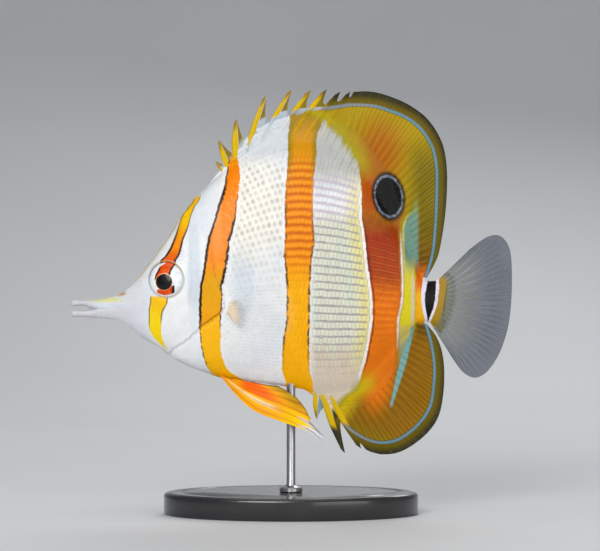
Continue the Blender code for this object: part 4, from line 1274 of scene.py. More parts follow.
def markings_group():
    """The fish's colours from a place on it, with masks for the patterns of its scale rows."""
    group = bpy.data.node_groups.new("butterflyfish markings", "ShaderNodeTree")
    declare(group, "INPUT", {"Place": "Vector"})
    declare(group, "OUTPUT", {"Colour": "Color"} | {name: "Float" for name in ROW_MASKS})
    t = Tree(group)
    place = t.add("NodeGroupInput").outputs["Place"]
    x, z = t.on_fish(place)
    # Noise that roughens the edges, for the tone of large areas and for grain
    ragged = (t.noise(place, 520, 1.5, (0.5, 1, 1)) - 0.5) * 0.9
    wide, fine = t.noise(place, 45), t.noise(place, 260, 3)
    flat = t.add("ShaderNodeCombineXYZ", {"X": x, "Y": z}).outputs[0]

    def blob(centre, half_sizes, core=0.35):
        """An oval patch, solid inside core and gone at its half sizes."""
        scale = [1 / size for size in half_sizes]
        moved = [-middle * share for middle, share in zip(centre, scale)]
        made = t.add("ShaderNodeMapping", {"Vector": flat, "Location": (*moved, 0), "Scale": (*scale, 0)})
        far = t.add("ShaderNodeVectorMath", {0: made.outputs[0]}, operation="LENGTH").outputs["Value"]
        return t.value(far).over(1, core)

    broken = t.noise(place, 700, 1, (0.35, 1, 1)).over(0.36, 0.5) * 0.85 + 0.15

    def band(front, back, wobble=1):
        """How far a place lies inside a band's front and back edges, and the band's mask."""
        shift = ragged * wobble
        ahead, behind = x + shift - t.edge(z, front), t.edge(z, back) - x + shift
        return ahead, behind, ahead.over(-0.2, 0.2) * behind.over(-0.2, 0.2)

    # The white of the flank: cool over the chest, creamy ahead of the middle band and behind it
    colour = t.paint((228, 233, 239), (242, 243, 243), wide.over(0.35, 0.65))
    colour.coat((208, 219, 230), blob((45.3, 12), (3.4, 26)) * 0.75)
    colour.coat((212, 222, 231), blob((62.5, 9), (5, 22)) * 0.7)
    colour.coat((250, 245, 234), blob((66, 36), (17, 26)))
    rear = x.over(84, 90) * z.within(-26, -12, 30, 38)
    colour.coat((224, 223, 206), rear)
    low = x.over(84, 90) * z.over(-9, -18)
    colour.coat((216, 199, 176), low * 0.9)
    green = t.noise(place, 120, 2, (2.2, 1, 0.5)).over(0.5, 0.68)
    colour.coat((206, 220, 200), rear * green * 0.5)
    colour.coat((205, 212, 217), z.over(50, 58) * 0.8)
    colour.coat((186, 186, 180), x.over(84, 90) * z.over(40, 51) * 0.9)
    line_gap = t.edge(z, REAR_LINE) - x
    yellowing = line_gap.over(7.5, 1.5) * z.within(-28, -10, 38, 52)
    colour.coat((238, 222, 96), yellowing * 0.62)
    mottles = t.cells(place, 900).over(0.3, 0.12) * blob((99, -22.5), (8, 3.4))
    colour.coat((170, 128, 108), mottles * 0.5)

    # The face: greyer snout with a yellowish bridge, a gold line down the nape and two brown spots
    colour.coat((206, 206, 212), x.over(33, 20) * 0.8)
    colour.coat((196, 192, 198), x.over(15, 4) * 0.6)
    colour.coat((196, 206, 218), blob((13.5, 0.9), (9, 1.2)) * 0.7)
    colour.coat((214, 212, 140), blob((13, 3), (8.5, 1.6)) * 0.85)
    from_back = t.edge(z, [(high, at) for at, high in BACK[:13]]) - x
    bridge = from_back.over(-1, -0.3) * z.within(3, 5, 28, 44)
    colour.coat((214, 190, 70), bridge * 0.7)
    colour.coat((186, 120, 24), blob((18, 5.4), (3.4, 1.5)) * 0.85)

    # The band through the eye
    ahead, behind, mask = band(EYE_BAND_FRONT, EYE_BAND_BACK, wobble=0.25)
    upper = mask * z.within(15.2, 16, 39.5, 41.5)
    tone = t.paint((238, 96, 12), (255, 152, 6), z.over(17.5, 23))
    tone.coat((255, 202, 6), z.over(23, 33))
    rim = (ahead.over(1.15, 0.6) + behind.over(1, 0.5)).clipped() * z.over(32, 21)
    thin = (ahead.over(0.45, 0.2) + behind.over(0.45, 0.2)).clipped() * 0.8
    colour.coat(t.mix(tone, BROWN, (rim + thin).clipped()), upper)
    ahead, behind, mask = band(CHEEK_BAND_FRONT, CHEEK_BAND_BACK, wobble=0.35)
    lower = mask * z.within(-15.8, -14.4, 3.8, 4.8)
    rim = (ahead.over(0.5, 0.2) * z.over(-9.5, -4) + behind.over(0.6, 0.25) * z.over(-7, -3)).clipped()
    tone = t.paint((255, 220, 0), (255, 200, 10), z.over(-6, 2.5))
    colour.coat(t.mix(tone, BROWN, rim * 0.9), lower)

    # The band behind the gill cover, which runs down into the pelvic fins
    ahead, behind, mask = band(FRONT_BAND_FRONT, FRONT_BAND_BACK)
    tone = t.paint((236, 168, 10), (255, 140, 0), z.over(8, 20))
    tone = t.paint((244, 166, 6), tone, z.over(-4, 6))
    fold_line = z + (x - 47.3) * -0.72
    tone = t.paint((255, 188, 0), tone, fold_line.over(-7.6, -6))
    tone.coat((226, 168, 0), z.over(49, 58))
    smudge = blob((58.3, 9.5), (1.2, 3.4)) * broken
    tone.coat(BROWN, smudge * 0.7)
    front_rim = ahead.over(1.15, 0.75) * z.within(-8, -3, 40, 50)
    thin_rim = ahead.over(0.55, 0.25) * z.over(-24, -18)
    back_rim = behind.over(1.1, 0.6) * z.within(4, 9, 30, 36)
    thin_back = behind.over(0.6, 0.25) * z.within(-10, -3, 34, 44)
    rim = (front_rim + back_rim + (thin_rim + thin_back) * broken).clipped()
    colour.coat(t.mix(tone, BROWN, rim), mask)
    # A darker orange line along the gill cover's free edge: painted shade in the crease there
    gill_edge_shade = fold_line.near(-6.6, 0.5) * x.within(46.8, 47.4, 54.6, 55.2)
    colour.coat((170, 74, 4), gill_edge_shade * 0.85)

    past_front = behind.over(-0.5, -1.8)
    # The middle band
    ahead, behind, mask = band(MIDDLE_BAND_FRONT, MIDDLE_BAND_BACK)
    before_middle = ahead.over(-0.3, -1.4)
    tone = t.paint((255, 180, 0), (250, 144, 0), z.over(4, 24))
    tone.coat((212, 146, 0), z.over(42, 62))
    rim = (ahead.over(0.95, 0.45) * z.over(46, 38) + behind.over(0.95, 0.4) * z.over(40, 30)).clipped()
    rim = rim * z.over(-26, -10) * broken
    olive = (ahead.over(2.6, 0.2) + behind.over(2.6, 0.2)).clipped() * z.over(38, 54)
    tone.coat((150, 128, 0), (olive + z.over(60, 72)).clipped() * 0.85)
    colour.coat(t.mix(tone, BROWN, rim * 0.9), mask)
    brown_rows = (mask * z.within(8, 22, 50, 56)).clipped()

    # Behind the white line: red band, soft fins and the bars at the root of the tail
    # Comb lines slant up and back; noise that changes from one to the next frays the white line's top
    comb = x * 0.9 - z * 0.44
    combed = t.noise(t.add("ShaderNodeCombineXYZ", {"X": comb}).outputs[0], 0.55) - 0.5
    gap = x - t.edge(z, REAR_LINE) + ragged * 0.4 + combed * z.over(49, 57) * 9
    red_end = x - t.edge(z, RED_BAND_BACK)
    tone = t.paint((168, 140, 0), (172, 98, 0), blob((112, 56), (14, 19), 0.15))
    tone.coat((184, 82, 0), blob((108, 41), (8, 14), 0.2))
    tone.coat((176, 154, 0), gap.over(9, 1) * z.over(44, 56))
    tone.coat((116, 100, 0), x.over(119, 128) * z.within(14, 30, 50, 66))
    tone.coat((98, 66, 0), x.over(122, 127) * z.over(38, 14))
    red = z.over(40, 24) * red_end.over(0.5, -1.5)
    tone.coat((162, 44, 0), red)
    tone.coat((240, 120, 0), z.over(15, 0) * red_end.over(0.5, -1.5))
    tone.coat((140, 36, 0), fine.over(0.4, 0.7) * red * z.over(-4, 8) * 0.5)
    tone.coat((136, 92, 0), (z.over(-6, -14) * red_end.over(-1.5, 2.5) + z.over(-16, -30)).clipped())
    tone.coat((230, 116, 0), blob((110.2, -19.5), (10, 23), 0.4))
    edge_low = (gap + combed * 2 - 3.6).over(6.5, -1.5) * z.over(-20, -29)
    tone.coat((204, 174, 0), edge_low)
    tone.coat((130, 104, 0), (z + (x - 100) * 0.4).over(-36, -45))
    colour.coat(tone, gap.over(0.2, 0.7))
    soft = gap.over(-2.5, 0.4) * (z.over(-25, -29) + z.over(50, 56)).clipped()
    colour.coat((168, 156, 6), soft * 0.8 * gap.over(2, 0.8))
    slit = ((comb / 2.9).node("FRACT") - 0.5).size().over(0.06, 0.025) * gap.over(-9, -5) * gap.over(2, 0)
    colour.coat((88, 94, 100), slit * z.over(47, 51) * x.over(86, 89) * 0.45)
    dark = gap.near(1.05, 0.55) * z.within(-26, -18, 24, 40)
    colour.coat((84, 36, 8), dark * 0.8)
    left = gap.near(-0.6, 0.4) * z.within(-24, -12, 30, 44)
    colour.coat((168, 178, 186), left * 0.6)
    white = gap.size().over(0.62, 0.38) * z.within(-27, -23, 39, 47)
    colour.coat((246, 240, 234), white)

    stalk = z.within(-9, -5.5, 30, 36)
    pale = red_end.over(0.5, 1.1) * x.over(125.5, 124) * stalk
    colour.coat(t.mix((220, 206, 24), (206, 196, 96), z.over(8, 18)), pale)
    wedge = red_end.over(0.9, 1.8) * z.within(11, 20, 33, 43) * (red_end - (z - 22) * 0.12).over(-0.8, 0.8)
    green = t.mix((108, 146, 130), (130, 156, 80), z.over(30, 40))
    colour.coat(green, wedge * x.over(126.8, 125.2))
    lilac = x.near(123.7, 1) * z.within(-7, -4, 9, 13)
    colour.coat((216, 192, 190), lilac * 0.9)
    gold = x.over(124.4, 125.2) * z.within(-6.4, -4.4, 10, 18)
    colour.coat(t.mix((246, 176, 8), (228, 110, 6), z.over(4, 9)), gold)
    white = red_end.near(0.15, 0.7) * z.within(-17, -7, 20, 29)
    colour.coat((240, 224, 220), white)
    streak_x = (z + 7.2) * 0.272 + 123.9
    streak = (x - streak_x).size() - z.near(-20, 16) * 0.7
    streak = streak.over(0.75, 0.25) * z.within(-36.5, -34.5, -8, -5.5)
    pale = red_end.over(0.3, 1.2) * (streak_x - x).over(-0.2, 0.4) * z.within(-24, -12, -8, -5)
    colour.coat(t.mix((150, 172, 140), (206, 190, 100), z.over(-16, -9)), pale * 0.8)
    colour.coat((116, 166, 162), streak)

    bars = [x - t.edge(z, edge) for edge in TAIL_BAR_EDGES]
    near_stalk = z.within(-6, -5.2, 10.6, 11.4)
    colour.coat((234, 228, 242), near_stalk * bars[0].over(-0.15, 0.15))
    colour.coat(BLACK, near_stalk * bars[1].over(-0.15, 0.15))
    on_tail = (z + (x - 129.6) * 1.45).over(-5.6, -5.2) * (z - (x - 130.5) * 1.2).over(11.2, 10.6)
    colour.coat((238, 226, 240), bars[2].over(-0.15, 0.15) * on_tail)
    colour.coat((170, 134, 20), bars[3].over(-0.15, 0.2) * on_tail)
    colour.coat((122, 118, 84), bars[3].over(1.6, 3.8) * on_tail)

    # The eyespot at the root of the soft dorsal fin
    from_x, from_z = x - SPOT_CENTRE[0], z - SPOT_CENTRE[1]
    tilt_x, tilt_z = from_x + from_z * 0.12, from_z - from_x * 0.08
    eyespot = hypot(tilt_x / SPOT_HALF[0], tilt_z / SPOT_HALF[1]) + ragged * 0.04
    colour.coat((24, 14, 8), eyespot.over(1.5, 1.22) * 0.9)
    colour.coat((30, 36, 44), eyespot.over(1.22, 1.17))
    dotted = t.noise(place, 900, 1).over(0.3, 0.62)
    colour.coat(t.mix((60, 68, 78), (122, 134, 146), dotted), (eyespot - 1.1).size().over(0.1, 0.04))
    spot = eyespot.over(1.05, 0.95)
    colour.coat((4, 4, 6), spot)

    # Where the scale rows show: grey dashes, grey dots, brown rows and soft lilac rows
    white_rear = line_gap.over(0.8, 2) * x.over(86.5, 89)
    dashes = white_rear * z.within(-27, -9, 28, 38)
    lilac_rows = white_rear * z.within(28, 34, 46, 50)
    dots = past_front * before_middle * (z.over(4, 30) * 0.7 + 0.3) * z.within(-27, -20, 50, 57)
    red_rows = gap.over(1, 2.5) * red_end.over(-0.5, -2) * z.within(-14, -4, 14, 30)
    colour.shade(fine.over(0.3, 0.75) * 0.14, (200, 194, 190))
    brown_rows = (brown_rows + red_rows * 0.5).clipped()
    masks = zip(ROW_MASKS, (dashes, dots, brown_rows, lilac_rows, spot))
    t.add("NodeGroupOutput", {"Colour": colour} | dict(masks))
    return group


LEVEL_NAMES = {
    "coat": "Coat Weight", "coat_rough": "Coat Roughness", "level": "Specular IOR Level", "metal": "Metallic",
}


class Finish(Tree):
    """A material on Object coordinates, built round its Principled shader."""

    def __init__(self, name):
        self.material = bpy.data.materials.new(name)
        self.material.use_nodes = True
        super().__init__(self.material.node_tree)
        self.shader = self.tree.nodes["Principled BSDF"]
        self.place = self.add("ShaderNodeTexCoord").outputs["Object"]

    def marks(self, group, place=None):
        """The fish's markings and their masks, by name."""
        return self.add("ShaderNodeGroup", {"Place": place or self.place}, node_tree=group).outputs

    def done(self, colour, rough, height=None, depth=0, alpha=1, **levels):
        """Joins what varies to the shader, sets what doesn't, and gives the finished material."""
        inputs = self.shader.inputs
        varying = {"Base Color": colour, "Roughness": rough, "Alpha": alpha}
        if height:
            bump = self.add("ShaderNodeBump", {"Height": height, "Distance": depth, "Strength": 1})
            varying["Normal"] = bump.outputs[0]
        for key, value in varying.items():
            join(self.tree, value, inputs[key])
        for key, value in levels.items():
            inputs[LEVEL_NAMES[key]].default_value = value
        return self.material


def skin_material(group):
    t = Finish("pearly_skin")
    tiny, pores = t.cells(t.place, 2400), t.noise(t.place, 900, 3)
    colour = Paint(t, t.marks(group)["Colour"]).shade(tiny.over(0.25, 0.7) * 0.1, (190, 186, 186))
    relief = tiny * -0.6 + pores * 0.5
    return t.done(colour, pores * 0.16 + 0.28, relief, 0.00006, coat=0.08, coat_rough=0.16, level=0.25)


def scale_material(group):
    """Scales: the markings, each scale's own share of a row's pattern, growth rings and ribs."""
    t = Finish("pearly_scales")
    root = t.add("ShaderNodeAttribute", attribute_name="root").outputs["Vector"]
    own = t.add("ShaderNodeMix", {0: 0.16, 4: t.place, 5: root}, data_type="VECTOR").outputs[1]
    marks = t.marks(group, own)
    plate = t.add("ShaderNodeUVMap", uv_map="plate").outputs[0]
    parts = t.add("ShaderNodeSeparateXYZ", {"Vector": plate})
    along, across = t.value(parts.outputs["X"]), (t.value(parts.outputs["Y"]) - 0.5).size()
    chance = t.attribute("chance")
    dashes, dots, brown, lilac = (t.value(marks[name]) for name in ROW_MASKS[:4])
    colour = Paint(t, marks["Colour"])
    sheen = t.noise(t.place, 700)
    uneven = (sheen - 0.5) * 0.7
    side = (across + uneven * 0.12).over(0.22, 0.36)
    colour.coat((150, 146, 150), side * dashes * (uneven + 0.72).clipped())
    seam = along.over(0.88, 0.98) * dashes
    colour.shade(seam * 0.5, (196, 200, 180))
    from_dot = ((along - 0.75) * 5.6).node("POWER", 2) + (across * 3.3).node("POWER", 2) + uneven
    colour.coat((178, 177, 168), from_dot.over(1.4, 0.1) * dots * (chance * 0.3 + 0.52))
    # A pale yellow streak along the middle of each scale in the brown rows: a painted highlight on the rows'
    # tops
    colour.coat((255, 186, 50), (across + uneven * 0.1).over(0.16, 0) * brown * 0.35)
    colour.coat((200, 92, 0), (across + uneven * 0.16).over(0.12, 0.38) * brown * 0.75)
    colour.coat((200, 186, 198), across.over(0.1, 0.36) * lilac * 0.8)
    colour.shade(chance.over(0.2, 1) * 0.1, (204, 200, 196))
    colour.shade(along.over(0.86, 1) * 0.3, (176, 174, 172))
    rings, ribs = (
        t.value(t.add(
            "ShaderNodeTexWave", {"Vector": plate, "Scale": scale, "Distortion": bend}, bands_direction=axis
        ).outputs["Fac"])
        for scale, bend, axis in ((4, 1.5, "X"), (2.6, 0.6, "Y"))
    )
    relief = rings * 0.25 + ribs * 0.1 + sheen * 0.4
    return t.done(colour, sheen * 0.18 + 0.3, relief, 0.00003, coat=0.05, coat_rough=0.16, level=0.16)


def ray_lines(t, split=0.3):
    """How near a place is to a ray's crest and to the dark line between rays, and its reach."""
    ray, reach = t.attribute("ray"), t.attribute("reach")
    cell = (ray.node("FRACT") - 0.5).size()
    off = (cell - reach.over(split, 0.75) * 0.24).size()
    twice = (off - reach.over(0.62, 1) * 0.12).size()
    return twice.over(0.09, 0.02), cell.over(0.43, 0.49), reach


def median_material(group):
    """Dorsal and anal fins: markings, the blue line, the dusky rim, gold spikes and grey webs."""
    t = Finish("banded_fin")
    marks = t.marks(group)
    inset, spike, web, free = (t.attribute(name) for name in ("inset", "spike", "web", "free"))
    crest, gap, reach = ray_lines(t)
    clear_of_spot = t.value(marks["Eyespot"]).inverse()
    x, z = t.on_fish(t.place)
    grain = t.noise(t.place, 800, 3)

    colour = Paint(t, marks["Colour"])
    colour.shade(gap * reach.over(0.75, 0.3) * clear_of_spot * 0.42, (120, 92, 40))
    colour.coat((56, 38, 0), gap * reach.over(0.42, 0.2) * clear_of_spot * 0.5)
    colour.coat((240, 200, 30), crest * clear_of_spot * 0.1)

    # Spines and the webs between them: gold towards the tips, grey or blue webs below
    below, between = x - t.edge(z, SPINE_GOLD), web.over(0.35, 0.75)
    top, low = z.over(40, 50), z.over(-14.5, -19.5)
    bare = (between * below.over(9, 4) + spike.over(0.4, 0.8) * below.over(6, 1)).clipped()
    colour.coat((134, 112, 20), between * below.over(-1.5, -4.5) * top)
    grey = t.mix((138, 154, 172), (188, 198, 210), t.noise(t.place, 240))
    colour.coat(grey, bare * below.over(-4.5, -1.5) * top * 0.85)
    blue = t.mix((92, 138, 160), (128, 160, 160), grain)
    colour.coat(blue, between * free.over(6, 4) * low * 0.9)
    gold = t.mix((214, 176, 0), (150, 112, 0), free.over(5, 0.5))
    colour.coat(gold, spike.over(0.5, 0.8) * (below.over(0.8, -0.8) + low * free.over(26, 22)).clipped())

    # The soft fin's dusky rim and the blue line inside it
    soft = (spike.over(0.4, 0.1) * web.over(0.4, 0.1) + x.over(90, 94)).clipped() * free.over(11, 8)
    rim = inset.over(0.5, 0.9) * soft
    dusky = t.mix((104, 88, 0), (50, 44, 2), inset.over(1.2, 4))
    colour.coat(dusky, rim)
    colour.coat((50, 56, 40), inset.size().over(0.95, 0.6) * soft * 0.6)
    line = t.mix(t.mix((84, 130, 152), (110, 146, 158), grain), (128, 134, 140), x.over(116, 106))
    colour.coat(line, inset.size().over(0.62, 0.38) * soft)
    clear = rim * inset.over(0.6, 4.2)
    return t.done(
        colour, grain * 0.2 + 0.32, crest * 0.4 + grain * 0.4, 0.00005, clear * -0.14 + 1 - clear * gap * 0.2,
        coat=0.03, coat_rough=0.2, level=0.1,
    )


def clear_material(name, near, far, ray_tone, thin, solid, fade, root=None, group=None):
    """A glassy fin: membranes that let the light through between rays that fade towards the edge."""
    t = Finish(name)
    crest, _, reach = ray_lines(t, 0.22)
    glass = t.paint(near, far, reach.over(0.1, 0.7)).coat(ray_tone, crest * reach.over(1, 0.3) * 0.55)
    ground, fades = (t.marks(group)["Colour"], (0.04, 0.2)) if group else (root, (0.02, 0.26))
    body = reach.over(0.26, 0.04) + crest * (solid - thin) * reach.over(*fade)
    grain = t.noise(t.place, 900)
    return t.done(
        Paint(t, ground).coat(glass, reach.over(*fades)), grain * 0.15 + 0.24, crest + grain * 0.3, 0.00004,
        (body + thin).clipped(), coat=0.1, coat_rough=0.2,
    )


def pelvic_material():
    """Orange at the front of the root, yellow to white tips, a cream ray and dark lines between rays."""
    t = Finish("pelvic_fin_skin")
    ray, reach = t.attribute("ray"), t.attribute("reach")
    orange = ray.over(2.6, 3.3) * reach.over(0.1, 0.3) * reach.over(0.8, 0.5)
    colour = t.paint((255, 180, 0), (255, 112, 0), orange)
    colour.coat((255, 210, 0), reach.over(0.6, 0.8) * ray.over(3.2, 1.6))
    colour.coat((196, 150, 4), ray.over(2.4, 4) * reach.over(0.62, 0.92))
    cream = ray.near(2.1, 0.5) * reach.over(0.04, 0.12) * reach.over(0.7, 0.55)
    colour.coat((255, 242, 190), cream)
    tips = reach.over(0.84, 0.93) * ray.over(2.4, 1.9)
    colour.coat((226, 232, 240), tips)
    cell = (ray.node("FRACT") - 0.5).size()
    colour.shade(cell.over(0.26, 0.48) * 0.5, (190, 110, 20))
    streaks = t.noise(t.place, 260, 2, (0.25, 1, 1))
    colour.shade(streaks.over(0.5, 0.8) * 0.3, (214, 140, 40))
    grain = t.noise(t.place, 800)
    relief = cell.over(0.45, 0.1) + grain * 0.3
    return t.done(colour, grain * 0.2 + 0.3, relief, 0.00006, coat=0.02, coat_rough=0.18, level=0.14)


# The front and back edges of the iris's upper patch: height and place from the eye's centre
IRIS_PATCH_FRONT = ((-1, -4), (0.5, -4.1), (2, -3.6), (3.2, -3), (4.5, -2.4), (6.4, -1.6))
IRIS_PATCH_BACK = ((-1, 1.6), (0.5, 1.6), (2, 1.8), (3.2, 2.1), (4.5, 2.9), (6.4, 3.9))


def eye_material():
    """Silver iris crossed by the band, a thin gold ring round the pupil, all under a wet surface."""
    t = Finish("wet_iris")
    x, z = t.on_fish(t.place, EYE)
    out, pupil = hypot(x, z), hypot(x + 0.6, z + 0.85)
    streaks = t.noise(t.place, 500, 3)
    colour = t.paint((246, 248, 248), (222, 228, 230), streaks.over(0.35, 0.7))
    colour.coat((196, 202, 204), out.over(5.6, 6.6))
    blackish = (24, 8, 5)

    # The band across the iris: a patch above the pupil and one below it
    tone = t.paint((236, 92, 8), (214, 52, 4), streaks.over(0.35, 0.65))
    bent = (t.noise(t.place, 420) - 0.5) * 1.1
    front, rear = x - t.edge(z, IRIS_PATCH_FRONT) + bent, t.edge(z, IRIS_PATCH_BACK) - x + bent
    upper = z.over(-0.6, 0.4) * front.over(-0.15, 0.2) * rear.over(-0.15, 0.2)
    dark = (front.over(0.85, 0.4) * z.over(5.2, 3.4) + rear.over(1, 0.6) * z.over(0.6, 2)).clipped()
    dark = (dark + (out - 4.2).near(0, 0.5) * 0.2).clipped()
    colour.coat(t.mix(tone, blackish, dark), upper)
    low = z - x * 0.25
    lower = low.over(-2.5, -3.1) * (x.size() + bent * 0.5).over(3.4, 3) * (out + bent * 0.3).over(5.8, 5.4)
    colour.coat(t.mix(tone, blackish, (x + bent).over(1.9, 2.5)), lower)
    colour.coat(t.mix((206, 128, 66), (240, 200, 150), z.over(0.5, 2.2)), pupil.over(3.14, 3.02))
    colour.coat((3, 3, 5), pupil.over(2.92, 2.82))
    top = out.over(6, 6.3) * z.over(1, 3)
    colour.coat((206, 150, 60), top * 0.4)
    relief = streaks * pupil.over(3, 3.6)
    return t.done(colour, streaks * 0.1 + 0.2, relief, 0.00004, coat=0.3, coat_rough=0.03, level=0.2)


def ring_material(group):
    """The thin rim of skin round the eye: gold above, grey behind, pale below, with painted shade down its
    inner wall, and the nostrils with painted shade in their pits.
    """
    t = Finish("eye_rim_skin")
    x, z = t.on_fish(t.place, EYE)
    out = hypot(x, z)
    soft = t.noise(t.place, 900, 3)
    colour = Paint(t, t.marks(group)["Colour"]).shade(soft.over(0.4, 0.7) * 0.2, (190, 186, 186))
    grey = out.near(6.7, 0.42)
    colour.coat((180, 182, 172), grey * x.over(-2, 3) * 0.75)
    gold = out.near(6.72, 0.3) * (z.over(2.4, 4.6) + z.over(-4.2, -5.2) * 0.5).clipped()
    colour.coat((214, 162, 70), gold * 0.8)
    # Painted shade down the rim's inner wall, where it drops into the eye's socket
    socket_shade = out.over(6.44, 6.32)
    colour.coat((120, 108, 96), socket_shade * out.over(5, 5.8))
    for at_x, at_z, radius in NOSTRILS:
        # Painted shade in each nostril's pit
        nostril_shade = hypot(x - (at_x - EYE[0]), z - (at_z - EYE[1])).over(radius * 0.9, radius * 0.5)
        colour.coat((70, 56, 50), nostril_shade * 0.8)
    return t.done(colour, soft * 0.15 + 0.28, soft, 0.00008, coat=0.3, coat_rough=0.12)


def stand_materials():
    """Black lacquer with a faint dust, and steel brushed along the rod."""
    t = Finish("black_lacquer")
    peel, dust = t.noise(t.place, 260), t.noise(t.place, 30, 4)
    black = t.mix((26, 26, 28), (40, 40, 42), dust.over(0.45, 0.8))
    lacquer = t.done(black, dust * 0.16 + 0.2, peel, 0.00002, coat=0.5, coat_rough=0.1)

    t = Finish("brushed_rod")
    brush = t.noise(t.place, 500, 3, (1, 1, 0.05))
    grey = t.mix((150, 150, 152), (196, 196, 198), brush)
    return lacquer, t.done(grey, brush * 0.2 + 0.2, brush, 0.00003, metal=1)


# The stand


SHARP_TURN = math.radians(35)
BASE_ROUNDING, ROD_RADIUS = 1.4, 1.6


def turned(name, profile, across, along, around, finish):
    """A lathe turning of (radius share, height) rings, stretched to an oval."""
    turn = circle(around)
    radius, height = (np.array(part)[:, None] for part in zip(*profile))
    x, y = along * radius * np.cos(turn), across * radius * np.sin(turn)
    verts = np.stack((x, y, 0 * turn + height), axis=-1)
    index = indexed(len(profile), around, ring=True)
    faces = [*quads(index).tolist(), index[0, -2::-1].tolist(), index[-1, :-1].tolist()]
    made = as_object(name, verts.reshape(-1, 3) * MM, faces, finish)
    made.data.set_sharp_from_angle(angle=SHARP_TURN)
    return merged(made, 1e-7)


def make_stand(lacquer, steel):
    """The oval base with its rounded lip and shallow groove, and the rod with its collar."""
    low, high = (np.array(corner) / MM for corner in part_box("stand_base"))
    along, across, tall = (high[0] - low[0]) / 2, (high[1] - low[1]) / 2, high[2]
    lip = [
        (BASE_ROUNDING * (1 - math.cos(a)), tall + BASE_ROUNDING * (math.sin(a) - 1))
        for a in np.linspace(0, math.pi / 2, 6)
    ]
    groove = [(4, tall), (4.3, tall - 0.25), (4.7, tall - 0.25), (5, tall)]
    profile = [(1 - inset / across, h) for inset, h in ((0.7, 0), (0.25, 0.25), (0, 0.8), *lip, *groove)]
    base = turned("display_base", profile, across, along, 160, lacquer)

    low, high = (np.array(corner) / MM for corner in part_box("stand_rod"))
    foot, top = (high[0] - low[0]) / 2, high[2]
    collar = (
        (foot - 0.3, 0), (foot, 0.3), (foot, 1.3), (foot - 0.3, 1.7), (ROD_RADIUS + 0.9, 1.9),
        (ROD_RADIUS + 0.25, 2.4), (ROD_RADIUS, 3.2),
    )
    profile = [(radius, tall + h) for radius, h in collar]
    profile += [(ROD_RADIUS, top - 0.4), (ROD_RADIUS, top + 1.6)]
    return base, turned("display_rod", profile, 1, 1, 56, steel)


# Camera, light and floor

# What the camera looks at, in the stand's own x and z, the width it sees there and its distance
VIEW_CENTRE, VIEW_WIDTH, VIEW_DISTANCE = (3.26, 86.25), 217.2, 900
# Each light's place, size and power
LIGHTS = {
    "key": ((-0.35, -1.05, 0.55), 0.7, 8.6),
    "fill": ((0.6, -0.9, 0.12), 0.8, 3.4),
    "back": ((0.2, 0.75, 0.7), 0.6, 3),
    "top": ((0, 0, 1), 0.8, 2),
}
LIT_POINT = (0, 0, 0.09)
SURROUND, SURROUND_STRENGTH = (0.86, 0.88, 0.92, 1), 0.3
# The paper floor in metres: half its width, its front edge, where it bends, the bend's radius and
# how high the wall goes
FLOOR_HALF, FLOOR_FRONT, FLOOR_BEND_START, FLOOR_BEND, WALL_TOP = 6, -9, 0.55, 0.9, 3


def make_camera():
    data = bpy.data.cameras.new("camera")
    data.sensor_width = 36
    data.lens = data.sensor_width * VIEW_DISTANCE / VIEW_WIDTH
    camera = in_scene("camera", data)
    camera.location = (VIEW_CENTRE[0] * MM, -VIEW_DISTANCE * MM, VIEW_CENTRE[1] * MM)
    camera.rotation_euler = (math.pi / 2, 0, 0)
    bpy.context.scene.camera = camera


def make_lights():
    for name, (place, size, power) in LIGHTS.items():
        data = bpy.data.lights.new(name, "AREA")
        data.shape, data.size, data.energy = "DISK", size, power
        lamp = in_scene(name, data)
        lamp.location = place
        lamp.rotation_euler = (Vector(LIT_POINT) - Vector(place)).to_track_quat("-Z", "Y").to_euler()


def make_studio():
    """Soft lights, a pale surround and a floor that curves up into a wall."""
    make_lights()
    scene = bpy.context.scene
    surround = bpy.data.worlds.new("studio")
    scene.world = surround
    surround.use_nodes = True
    inputs = surround.node_tree.nodes["Background"].inputs
    inputs["Color"].default_value = SURROUND
    inputs["Strength"].default_value = SURROUND_STRENGTH
    scene.view_settings.view_transform = "Standard"

    t = Finish("pale_paper")
    paper = t.done(t.mix((206, 208, 210), (214, 215, 216), t.noise(t.place, 6)), 0.85)
    line = [(FLOOR_FRONT, 0), (FLOOR_BEND_START, 0)]
    line += [
        (FLOOR_BEND_START + FLOOR_BEND * math.sin(a), FLOOR_BEND - FLOOR_BEND * math.cos(a))
        for a in np.linspace(0, math.pi / 2, 16)[1:]
    ]
    line += [(FLOOR_BEND_START + FLOOR_BEND, WALL_TOP)]
    along = (-FLOOR_HALF, 0, FLOOR_HALF)
    verts = [(x, y, z) for x in along for y, z in line]
    floor = as_object("paper_floor", verts, quads(indexed(len(along), len(line))), paper)


make_camera()
make_studio()

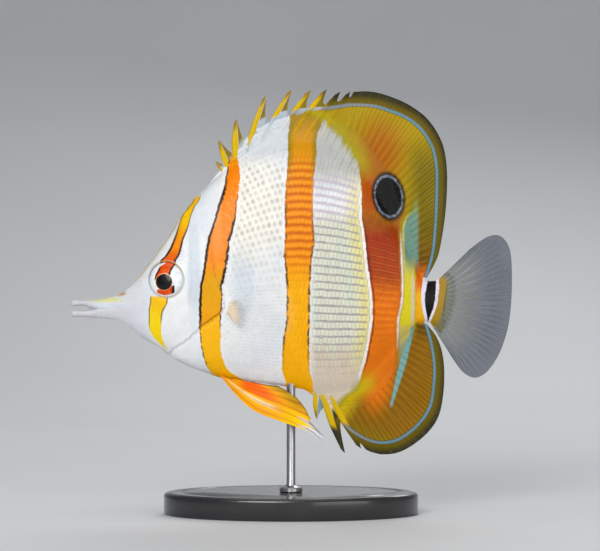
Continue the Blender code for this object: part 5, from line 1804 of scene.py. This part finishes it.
markings = markings_group()
skin_finish, scale_finish = skin_material(markings), scale_material(markings)
fin_finish, pelvic_finish = median_material(markings), pelvic_material()
iris_finish, rim_finish = eye_material(), ring_material(markings)
tail_finish = clear_material(
    "smoky_tail_fin", (110, 114, 106), (44, 58, 82), (160, 160, 140), 0.5, 0.78, (1.1, 0.5), group=markings
)
pectoral_finish = clear_material(
    "clear_pectoral_fin", (226, 230, 232), (214, 222, 230), (240, 242, 244), 0.02, 0.2, (0.75, 0.15),
    root=(240, 218, 192),
)
lacquer, steel = stand_materials()

skin, skin_grid = make_skin(skin_finish)
coats = lay_coat(skin_grid, scale_finish)
rings = make_rings(rim_finish)
eyes = [eyeball(f"eyeball_{name}", side, iris_finish) for name, side in SIDES]
dorsal = median_fin(
    "dorsal_fin_sheet", BACK, DORSAL_BASE, DORSAL_EDGE, DORSAL_LINE, DORSAL_RAYS, DORSAL_SPINES, 1, fin_finish
)
anal = median_fin(
    "anal_fin_sheet", BELLY, ANAL_BASE, ANAL_EDGE, ANAL_LINE, ANAL_RAYS, ANAL_SPINES, -1, fin_finish
)
tail = tail_fin(tail_finish)
pelvics = [pelvic_fin(f"pelvic_sheet_{name}", side, pelvic_finish) for name, side in SIDES]
pectorals = [pectoral_fin(f"pectoral_sheet_{name}", side, pectoral_finish) for name, side in SIDES]
base, pole = make_stand(lacquer, steel)

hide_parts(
    "head", "gill_cover_left", "gill_cover_right", "upper_jaw", "lower_jaw", "torso", "tail_stalk"
)
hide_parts("eye_left")
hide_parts("eye_right")
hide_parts("dorsal_spines", "dorsal_fin")
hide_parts("anal_spines", "anal_fin")
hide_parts("tail_fin")
for (name, _), pelvic, pectoral in zip(SIDES, pelvics, pectorals):
    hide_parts(f"pelvic_fin_{name}")
    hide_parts(f"pectoral_fin_{name}")
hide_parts("stand_base")
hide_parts("stand_rod")

slots = (
    ((skin, rings, *coats), "pearl_skin"), (eyes, "iris"), ((dorsal, anal), "yellow_fin"),
    (pelvics, "orange_fin"), ((tail, *pectorals), "clear_fin"), ((base,), "dark_lacquer"),
    ((pole,), "polished_rod"),
)
for pieces, slot in slots:
    for piece in pieces:
        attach(piece, "root")
